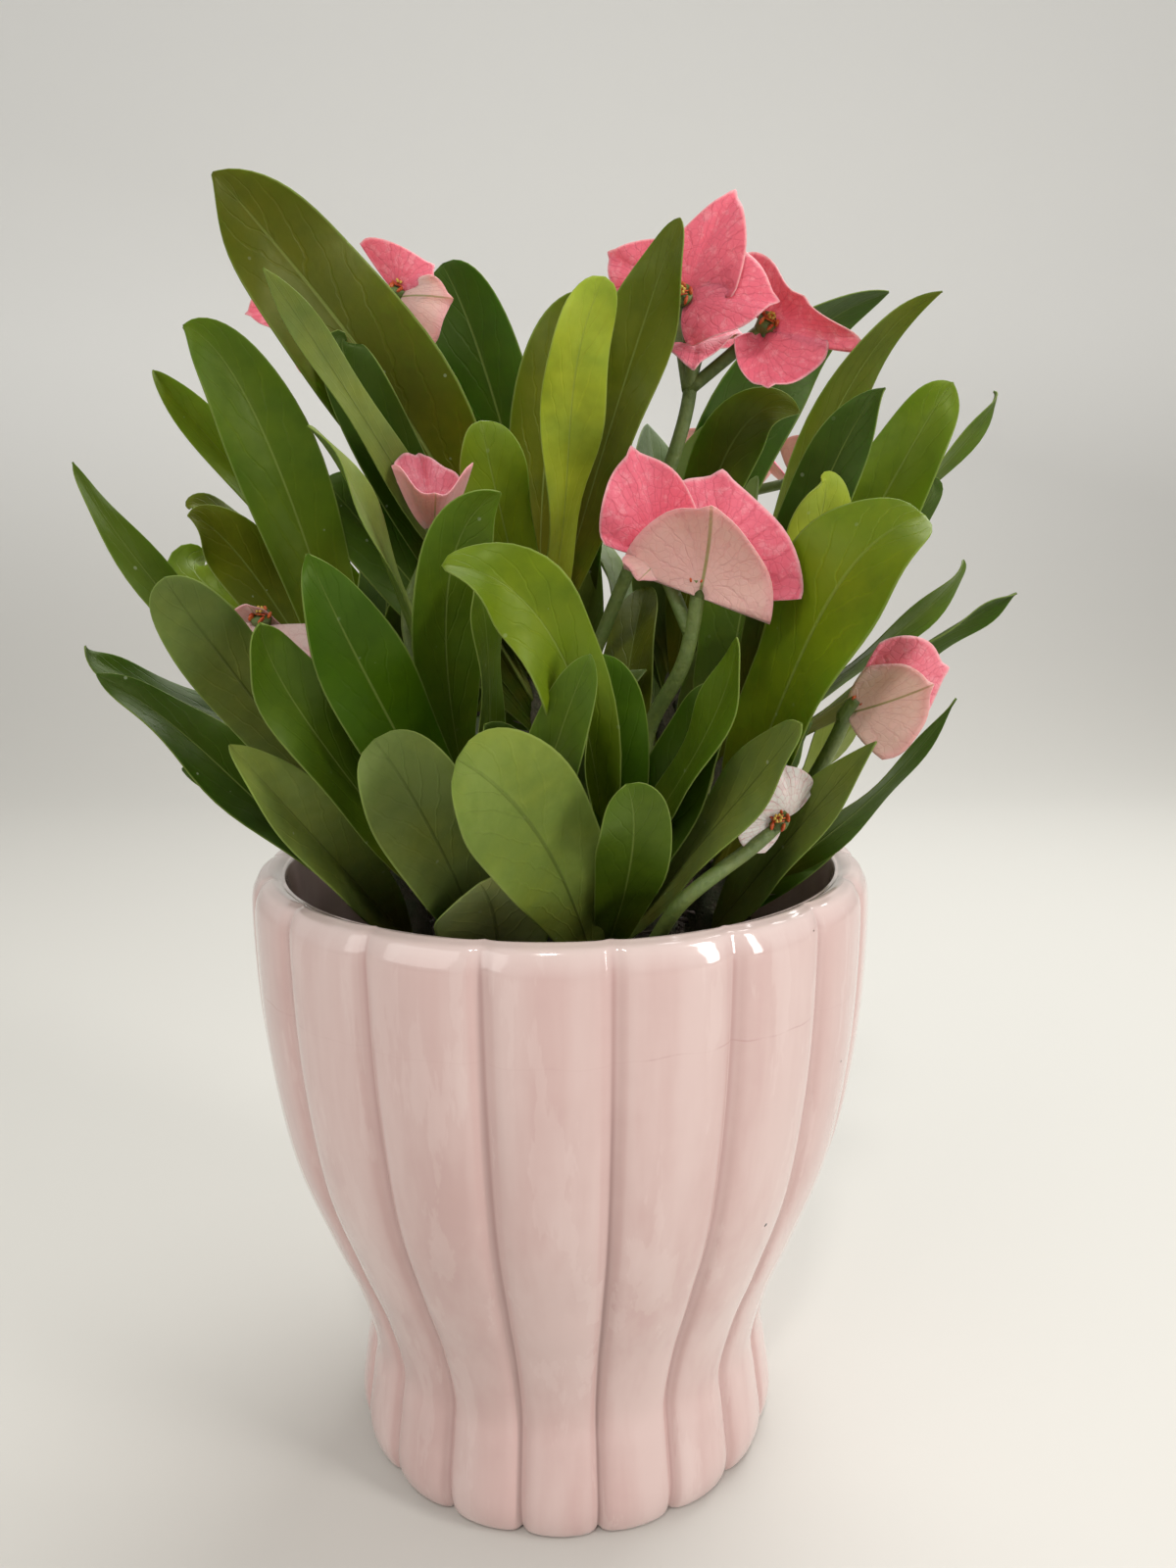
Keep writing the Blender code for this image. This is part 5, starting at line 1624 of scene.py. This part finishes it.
@dataclass
class SoilBed:
    """The soil that fills the pot, uneven on top and strewn with grains, mm."""

    rules: GeometryRules
    finishes: Finishes
    pot: Pot
    gap: float = 0.3
    rings: int = 26
    columns: int = 96
    brim_share: float = 0.97
    sides: tuple[float, ...] = (100.0, 85.0, 45.0)
    relief: float = 4.0
    grain_size: float = 1.1
    grain_density: float = 260000.0

    def _bed(self) -> Piece:
        """A closed bed from the cavity's floor to the mounded top, with its top marked for the grit.

        Returns:
            The bed, still even.
        """
        shares = np.linspace(1 / self.rings, 1, self.rings)
        top_radius = self.pot.inner_radius(SOIL_TOP) - self.gap
        profile = [(top_radius * share, SOIL_TOP + SOIL_MOUND * (1 - share**2)) for share in shares]
        heights = (*self.sides, self.pot.floor + self.gap)
        profile += [(self.pot.inner_radius(height) - self.gap, height) for height in heights]
        angles = np.arange(self.columns) * 2 * pi / self.columns
        points = np.concatenate([*turned_rings(profile, angles), [(0, 0, SOIL_TOP + SOIL_MOUND)]])
        faces = ring_faces(len(profile), self.columns)
        last = (len(profile) - 1) * self.columns
        centre = len(profile) * self.columns
        faces += [(centre, k, (k + 1) % self.columns) for k in range(self.columns)]
        faces.append(tuple(reversed(range(last, last + self.columns))))
        ring_tops = [*(shares < self.brim_share), *[False] * len(heights)]
        top = np.append(np.repeat(ring_tops, self.columns), True)
        return plain_piece("soil_bed", points, faces, self.finishes.soil, top=top)

    def build(self) -> None:
        """Makes the bed, strews its grit and puts it in the node's place."""
        bed = ruled(
            self._bed(), self.rules.grit, Relief=self.relief * MM, Grain_Size=self.grain_size * MM,
            Grain_Density=self.grain_density, Seed=SEED, Material=self.finishes.soil,
        )
        declared(bed, "soil", "soil")


@dataclass
class LeafyStem:
    """A thorny stem with its leaves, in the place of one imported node, mm."""

    name: str
    rules: GeometryRules
    finishes: Finishes
    stations: int = 28
    places: tuple[float, ...] = (
        -1.0, -0.95, -0.8, -0.6, -0.38, -0.18, -0.09, -0.035, 0.035, 0.09, 0.18, 0.38, 0.6, 0.8, 0.95, 1.0,
    )
    petiole: float = 1.5
    blade: float = 0.5
    foot_share: float = 0.16
    rib_height: float = 0.55
    rib_half: float = 0.12
    fine_tip: float = 0.03
    near: float = 0.45
    far: float = 1.4
    tone_spread: tuple[float, float] = (0.86, 1.14)
    own_share: float = 0.45
    pale_share: float = 0.55
    ring_step: float = 1.5
    sides: int = 20
    bark_inset: float = 0.3
    scar_height: float = 0.6
    crown_taper: tuple[float, float] = (0.8, 0.45)
    thorns: int = 8
    thorn_start: float = 5.0
    thorn_stop: float = 12.0
    thorn_radius: float = 0.95
    thorn_length: float = 11.0
    thorn_spread: tuple[float, float] = (0.75, 1.1)
    thorn_rise: tuple[float, float] = (0.1, 0.45)
    thorn_root: float = 2.2
    lesser_turns: tuple[float, ...] = (-0.5, 0.55)
    lesser_rise: float = 0.35
    lesser_root: float = 1.5
    lesser_lift: float = 2.0
    lesser_share: float = 0.55

    def _packed_leaves(self, leaves: Sequence[Leaf]) -> Iterator[Leaf]:
        """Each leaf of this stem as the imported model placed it; a leaf that it left out is passed over.

        Args:
            leaves: The leaves of the table and of the rule, for all stems.

        Yields:
            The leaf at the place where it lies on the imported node's surface.
        """
        tree = packed_surface(self.name + "_stem")
        for leaf in leaves:
            if leaf.stem != self.name:
                continue
            best, distance = leaf, 1e9
            for choice in variants(leaf):
                probe = blade_grid(choice, STATIONS, (-1.0, 0.0, 1.0))[2:].reshape(-1, 3) * MM
                mean = sum(tree.find_nearest(Vector(p))[3] for p in probe) / len(probe) / MM
                if mean < distance:
                    best, distance = choice, mean
                if mean < self.near:
                    break
            if distance < self.far:
                yield best
            else:
                LOG.info("%s: a leaf of the rule has no place in the packed model", self.name)

    def _thickness(self) -> np.ndarray:
        """The blade's thickness: a stout foot, a raised midrib and thin margins.

        Returns:
            Rows by places, mm.
        """
        along = np.linspace(0, 1, self.stations)[:, None]
        across = np.abs(np.array(self.places))[None, :]
        foot = np.clip(1 - along / self.foot_share, 0, 1) ** 1.5
        body = self.blade * (1 - 0.55 * across**3)
        rib = self.rib_height * np.clip(1 - across / self.rib_half, 0, 1) * (1 - along) ** 0.5
        return body + rib + (self.petiole - self.blade) * foot * (1 - 0.5 * across)

    def leaves(self, leaves: Sequence[Leaf]) -> Piece:
        """The stem's leaves as fine blades with waved margins.

        Args:
            leaves: The leaves of the table and of the rule, for all stems.

        Returns:
            One piece with all of them.
        """
        maker = MeshMaker()
        draw = random.Random(SEED + len(self.name))
        thickness = self._thickness()
        across = np.array(self.places)
        for leaf in self._packed_leaves(leaves):
            grid = blade_grid(leaf, self.stations, self.places, tip_share=self.fine_tip)
            brightness = draw.uniform(*self.tone_spread)
            front = tuple(c * brightness for c in leaf.tone.value)
            shows_under = leaf.tone in (Tone.PALE, Tone.PALE_LIME, Tone.GREY)
            back = tuple(self.own_share * c + self.pale_share * p for c, p in zip(front, Tone.PALE.value))
            if shows_under:
                back = Tone.MID.value
            maker.add_blade(grid, thickness, across, front, back, upper_in_front=not shows_under)
        return maker.piece(self.name + "_leaves", self.finishes.leaf)

    def _bark(self) -> Piece:
        """The stem itself, knobbly with old leaf scars and drawn in at its tip.

        Returns:
            The stem without its thorns.
        """
        heights = np.arange(STEM_FOOT, STEMS[self.name].tip[2] + 0.1, self.ring_step)
        route = np.array([stem_point(self.name, height) for height in heights])
        angles = np.arange(self.sides) * 2 * pi / self.sides
        radii = []
        for height in heights:
            scars = 0.35 * np.cos(angles * 3 + height * 0.55) * np.sin(height * 0.9 + angles)
            scars += 0.15 * np.sin(angles * 5 - height)
            radii.append(stem_radius(self.name, height) - self.bark_inset + scars * self.scar_height)
        radii[-2:] = [radius * share for radius, share in zip(radii[-2:], self.crown_taper)]
        maker = MeshMaker()
        maker.add_tube(route, np.array(radii), self.sides)
        return maker.piece(self.name + "_wood", self.finishes.bark)

    def _thorns(self) -> Piece:
        """The thorns, set up the stem by the golden angle, each with two lesser ones beside it.

        Returns:
            All thorns of the stem as one object.
        """
        places, outward, reach = [], [], []
        draw = random.Random(SEED + len(self.name))
        run = STEMS[self.name].tip[2] - SOIL_TOP - self.thorn_stop
        for step in range(self.thorns):
            height = SOIL_TOP + SOIL_MOUND + self.thorn_start + run * step / self.thorns
            azimuth = GOLDEN_ANGLE * step + 1.0
            out = np.array((cos(azimuth), sin(azimuth), draw.uniform(*self.thorn_rise)))
            length = self.thorn_length * draw.uniform(*self.thorn_spread)
            centre, radius = stem_point(self.name, height), stem_radius(self.name, height)
            places.append(centre + out * (radius - self.thorn_root))
            outward.append(unit(out))
            reach.append(float(np.linalg.norm(out)) * (length + self.thorn_root))
            for turn in self.lesser_turns:
                lesser = unit(np.array((cos(azimuth + turn), sin(azimuth + turn), self.lesser_rise)))
                places.append(centre + lesser * (radius - self.lesser_root) + UP * self.lesser_lift)
                outward.append(lesser)
                reach.append(length * self.lesser_share)
        return ruled(
            sites(self.name + "_thorns", places, outward, reach), self.rules.thorns,
            Thorn_Radius=self.thorn_radius * MM, Material=self.finishes.thorn,
        )

    def wood(self) -> Piece:
        """The stem with its thorns."""
        return joined([self._bark(), self._thorns()])

    def build(self, leaves: Sequence[Leaf]) -> None:
        """Makes the wood and the leaves, and puts them in the node's place."""
        for piece in (self.wood(), self.leaves(leaves)):
            declared(piece, self.name + "_stem", "foliage")


class Whorl(NamedTuple):
    """A ring of small ovals in a flower: their number, its radius and height, an oval's half sizes, mm."""

    label: str
    count: int
    ring: float
    height: float
    oval: Point


GLANDS = Whorl("glands", 5, 1.75, 2.7, (0.62, 0.95, 0.34))
FILAMENTS = Whorl("filaments", 6, 0.55, 3.1, (0.22, 0.22, 0.9))
ANTHERS = Whorl("anthers", 6, 0.62, 3.9, (0.36, 0.36, 0.28))


def packed_surface(node: str) -> BVHTree:
    """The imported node's surface, for finding how near a point lies to it."""
    mesh = bpy.data.objects[node].data
    return BVHTree.FromPolygons([v.co for v in mesh.vertices], [tuple(p.vertices) for p in mesh.polygons])


@dataclass
class BloomSpray:
    """A peduncle with its pairs of bracts round small flowers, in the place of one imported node, mm."""

    name: str
    rules: GeometryRules
    finishes: Finishes
    upper: Colour = (0.73, 0.115, 0.175)
    lower: Colour = (0.70, 0.42, 0.37)
    rows: int = 16
    columns: int = 31
    thickness: float = 0.4
    crown_point: float = 0.07
    crown_width: float = 0.1
    midrib_depth: float = 0.03
    midrib_width: float = 0.08
    ruffle: float = 0.03
    ruffles: int = 7
    rim_share: float = 0.45
    gap: float = 0.3
    cup_steps: tuple[float, ...] = (-2.2, -1.4, 0.0, 1.6, 2.6, 2.5, 1.2)
    cup_radii: tuple[float, ...] = (0.8, 1.5, 1.7, 2.0, 2.1, 1.5, 0.6)

    def _upper_in_front(self, bract: Bract) -> bool:
        """Whether the face that the fans' right-hand normal points to is the bract's upper one.

        Args:
            bract: The bract of the table, which says what side of it faces the front of the plant.

        Returns:
            True where that normal leaves the upper face.
        """
        root, crown, left, right = (np.array(point, float) for point in bract[:4])
        faces_front = np.cross(right - left, crown - root) @ (FRONT_POINT - root) > 0
        return bool(faces_front != bract.under)

    def _bract(self, bract: Bract) -> tuple[np.ndarray, np.ndarray]:
        """Fans of points of rising size from the bract's root to its rim.

        Args:
            bract: The bract of the table.

        Returns:
            Rows by places by 3, mm, and how far to the side of the midrib each point lies, from -1 to 1.
        """
        root, crown, left, right = (np.array(point, float) for point in bract[:4])
        forward, across = crown - root, (right - left) / 2
        rise = (left + right) / 2 - root
        normal = unit(np.cross(across, forward))
        length = float(np.linalg.norm(forward))
        below = -1 if self._upper_in_front(bract) else 1
        grid, aside_of = [], []
        for size in np.linspace(0.05, 1, self.rows) ** 0.9:
            row, asides = [], []
            for place in np.linspace(-1, 1, self.columns):
                angle = place * BRACT_SPAN
                ahead = np.sign(cos(angle)) * abs(cos(angle)) ** BRACT_SQUARENESS * size
                aside = np.sign(sin(angle)) * abs(sin(angle)) ** BRACT_SQUARENESS * size
                bowed = bract.bow * 4 * abs(ahead) * (1 - abs(ahead))
                groove = np.exp(-((aside / self.midrib_width) ** 2))
                bowed += below * length * self.midrib_depth * size * groove
                bowed += length * self.ruffle * size**3 * sin(self.ruffles * angle + crown[0])
                crown_point = self.crown_point * size**8 * np.exp(-((aside / self.crown_width) ** 2))
                point = forward * (ahead + crown_point)
                row.append(root + point + across * aside + rise * abs(aside) ** BRACT_RISE + normal * bowed)
                asides.append(aside)
            grid.append(row)
            aside_of.append(asides)
        return np.array(grid), np.array(aside_of)

    def bracts(self, bloom: Bloom) -> Piece:
        """The bloom's bracts, thinner towards their rims.

        Args:
            bloom: The bloom of the table.

        Returns:
            One piece with all its bracts.
        """
        maker = MeshMaker()
        rim = np.linspace(1, self.rim_share, self.rows)[:, None] * np.ones(self.columns)
        for head in bloom.heads:
            for bract in head.bracts:
                grid, asides = self._bract(bract)
                up = self._upper_in_front(bract)
                front, back = (self.upper, self.lower) if up else (self.lower, self.upper)
                maker.add_blade(grid, self.thickness * rim, asides, front, back, upper_in_front=up)
        return maker.piece(self.name + "_bracts", self.finishes.bract)

    def stalk(self, bloom: Bloom) -> Piece:
        """The forked peduncle with a cup, glands and stamens at each head.

        Args:
            bloom: The bloom of the table.

        Returns:
            One piece with all of it.
        """
        foot = stem_point(bloom.stem, bloom.base)
        outward = unit((np.array(bloom.route[0], float) - foot) * (1, 1, 0))
        start = foot + outward * (stem_radius(bloom.stem, bloom.base) + self.gap)
        maker = MeshMaker()
        route = smooth_route([start, start + outward * PEDUNCLE_RUN, *bloom.route, bloom.heads[0].centre], 8)
        maker.add_tube(route, np.linspace(PEDUNCLE_RADIUS, BRANCH_RADIUS, len(route)), 14)
        before, end = (np.array(point, float) for point in bloom.route[-2:])
        fork = end + (before - end) * FORK_SHARE
        for head in bloom.heads[1:]:
            branch = smooth_route([fork, head.centre], 8)
            maker.add_tube(branch, np.full(len(branch), BRANCH_RADIUS * 0.95), 12)
        axes = [unit(np.array(head.axis, float)) for head in bloom.heads]
        centres = [np.array(head.centre, float) for head in bloom.heads]
        for axis, centre in zip(axes, centres):
            maker.add_tube(centre + np.outer(self.cup_steps, axis), np.array(self.cup_radii), 16)
        parts = [maker.piece(self.name + "_stalk", self.finishes.stalk)]
        gland, pollen = self.finishes.gland, self.finishes.pollen
        for whorl, material in ((GLANDS, gland), (FILAMENTS, gland), (ANTHERS, pollen)):
            parts.append(ruled(
                sites(whorl.label, centres, axes, [1.0] * len(axes)), self.rules.whorl, Count=whorl.count,
                Ring_Radius=whorl.ring * MM, Height=whorl.height * MM,
                Oval_Size=tuple(s * MM for s in whorl.oval), Material=material,
            ))
        return joined(parts)

    def build(self, bloom: Bloom) -> None:
        """Makes the stalk and the bracts, and puts them in the node's place."""
        for piece, slot in ((self.stalk(bloom), "foliage"), (self.bracts(bloom), "bract")):
            declared(piece, self.name, slot)


class Lamp(NamedTuple):
    """A soft rectangular light: its place, the point it faces and its size (metres), power and colour."""

    name: str
    place: Point
    aim: Point
    size: tuple[float, float]
    power: float
    colour: Colour


LAMPS: tuple[Lamp, ...] = (
    Lamp("window", (0.95, -0.55, 0.50), (0, 0, 0.14), (0.22, 0.9), 7.0, (1.0, 0.98, 0.95)),
    Lamp("sky", (0.30, 0.45, 0.95), (0, 0, 0.18), (0.8, 0.8), 8.4, (0.99, 1.0, 0.98)),
    Lamp("fill", (-0.9, -0.8, 0.6), (0, 0, 0.14), (0.9, 0.9), 3.9, (1.0, 0.99, 0.95)),
    Lamp("lamp", (-0.05, -0.75, 0.95), (0, 0, 0.16), (0.10, 0.10), 3.0, (1.0, 0.98, 0.93)),
)


@dataclass
class Studio:
    """The pale floor with its curved backdrop, the lights and the camera, metres."""

    finishes: Finishes
    half_width: float = 3.0
    front: float = -3.0
    bend_start: float = 0.75
    bend_radius: float = 0.7
    bend_steps: int = 12
    height: float = 3.0
    camera_place: Point = (0.00637, -0.266, 0.2072)
    pitch: float = radians(10.9)
    roll: float = radians(-0.42)
    focal_pixels: float = 1202.0
    frame_height: float = 1600.0
    sensor: float = 36.0
    clip_start: float = 0.01
    room_colour: Colour = (0.93, 0.92, 0.90)
    room_light: float = 0.48

    def floor(self) -> None:
        """A floor that curves up behind the plant."""
        profile = [(self.front, 0.0), (self.bend_start, 0.0)]
        for angle in np.linspace(0, pi / 2, self.bend_steps + 1)[1:]:
            depth = self.bend_start + self.bend_radius * sin(angle)
            profile.append((depth, self.bend_radius * (1 - cos(angle))))
        profile.append((self.bend_start + self.bend_radius, self.height))
        points = [(x, y, z) for y, z in profile for x in (-self.half_width, self.half_width)]
        faces = [(2 * k, 2 * k + 1, 2 * k + 3, 2 * k + 2) for k in range(len(profile) - 1)]
        mesh = bpy.data.meshes.new("studio_floor")
        mesh.from_pydata(points, [], faces)
        mesh.materials.append(self.finishes.floor)
        mesh.shade_smooth()
        placed("studio_floor", mesh)

    def lights(self) -> None:
        """A tall window light from the right, a light from behind above, a soft fill, a lamp and the room."""
        for lamp in LAMPS:
            data = bpy.data.lights.new(lamp.name, "AREA")
            data.shape = "RECTANGLE"
            data.size, data.size_y = lamp.size
            data.energy = lamp.power
            data.color = lamp.colour
            obj = placed(lamp.name, data)
            obj.location = lamp.place
            backwards = Vector(lamp.place) - Vector(lamp.aim)
            obj.rotation_euler = backwards.to_track_quat("Z", "Y").to_euler()
        world = bpy.data.worlds.new("pale_room")
        world.use_nodes = True
        background = world.node_tree.nodes["Background"]
        background.inputs["Color"].default_value = (*self.room_colour, 1)
        background.inputs["Strength"].default_value = self.room_light
        bpy.context.scene.world = world

    def camera(self) -> None:
        """The camera at the photograph's viewpoint."""
        data = bpy.data.cameras.new("camera")
        data.sensor_fit = "AUTO"
        data.sensor_width = self.sensor
        data.lens = self.focal_pixels / self.frame_height * self.sensor
        data.clip_start = self.clip_start
        obj = placed("camera", data)
        turn = Matrix.Rotation(pi / 2 - self.pitch, 4, "X") @ Matrix.Rotation(self.roll, 4, "Z")
        obj.matrix_world = Matrix.Translation(self.camera_place) @ turn
        bpy.context.scene.camera = obj


BRACT_TONES: dict[str, tuple[Colour, Colour]] = {
    "bloom_wilted": ((0.62, 0.57, 0.52), (0.66, 0.62, 0.57)),
    "bloom_far_left": ((0.70, 0.26, 0.29), (0.60, 0.42, 0.39)),
    "bloom_far_right": ((0.74, 0.16, 0.22), (0.74, 0.48, 0.42)),
    "bloom_left": ((0.70, 0.14, 0.20), (0.64, 0.33, 0.32)),
}


def main() -> None:
    """Builds the pot, the soil, the leafy stems, the blooms and the studio."""
    logging.basicConfig(level=logging.INFO, format="%(name)s: %(message)s")
    rules = GeometryRules()
    finishes = Finishes(SharedEffects())
    pot = Pot(rules, finishes)
    pot.build()
    SoilBed(rules, finishes, pot).build()
    leaves = [*LEAVES, *rule_leaves()]
    for name in STEMS:
        LeafyStem(name, rules, finishes).build(leaves)
    for name, bloom in BLOOMS.items():
        spray = BloomSpray(name, rules, finishes)
        if name in BRACT_TONES:
            spray.upper, spray.lower = BRACT_TONES[name]
        spray.build(bloom)
    studio = Studio(finishes)
    studio.floor()
    studio.lights()
    studio.camera()
    bpy.context.scene.view_settings.view_transform = "Standard"


if __name__ == "__main__":
    main()
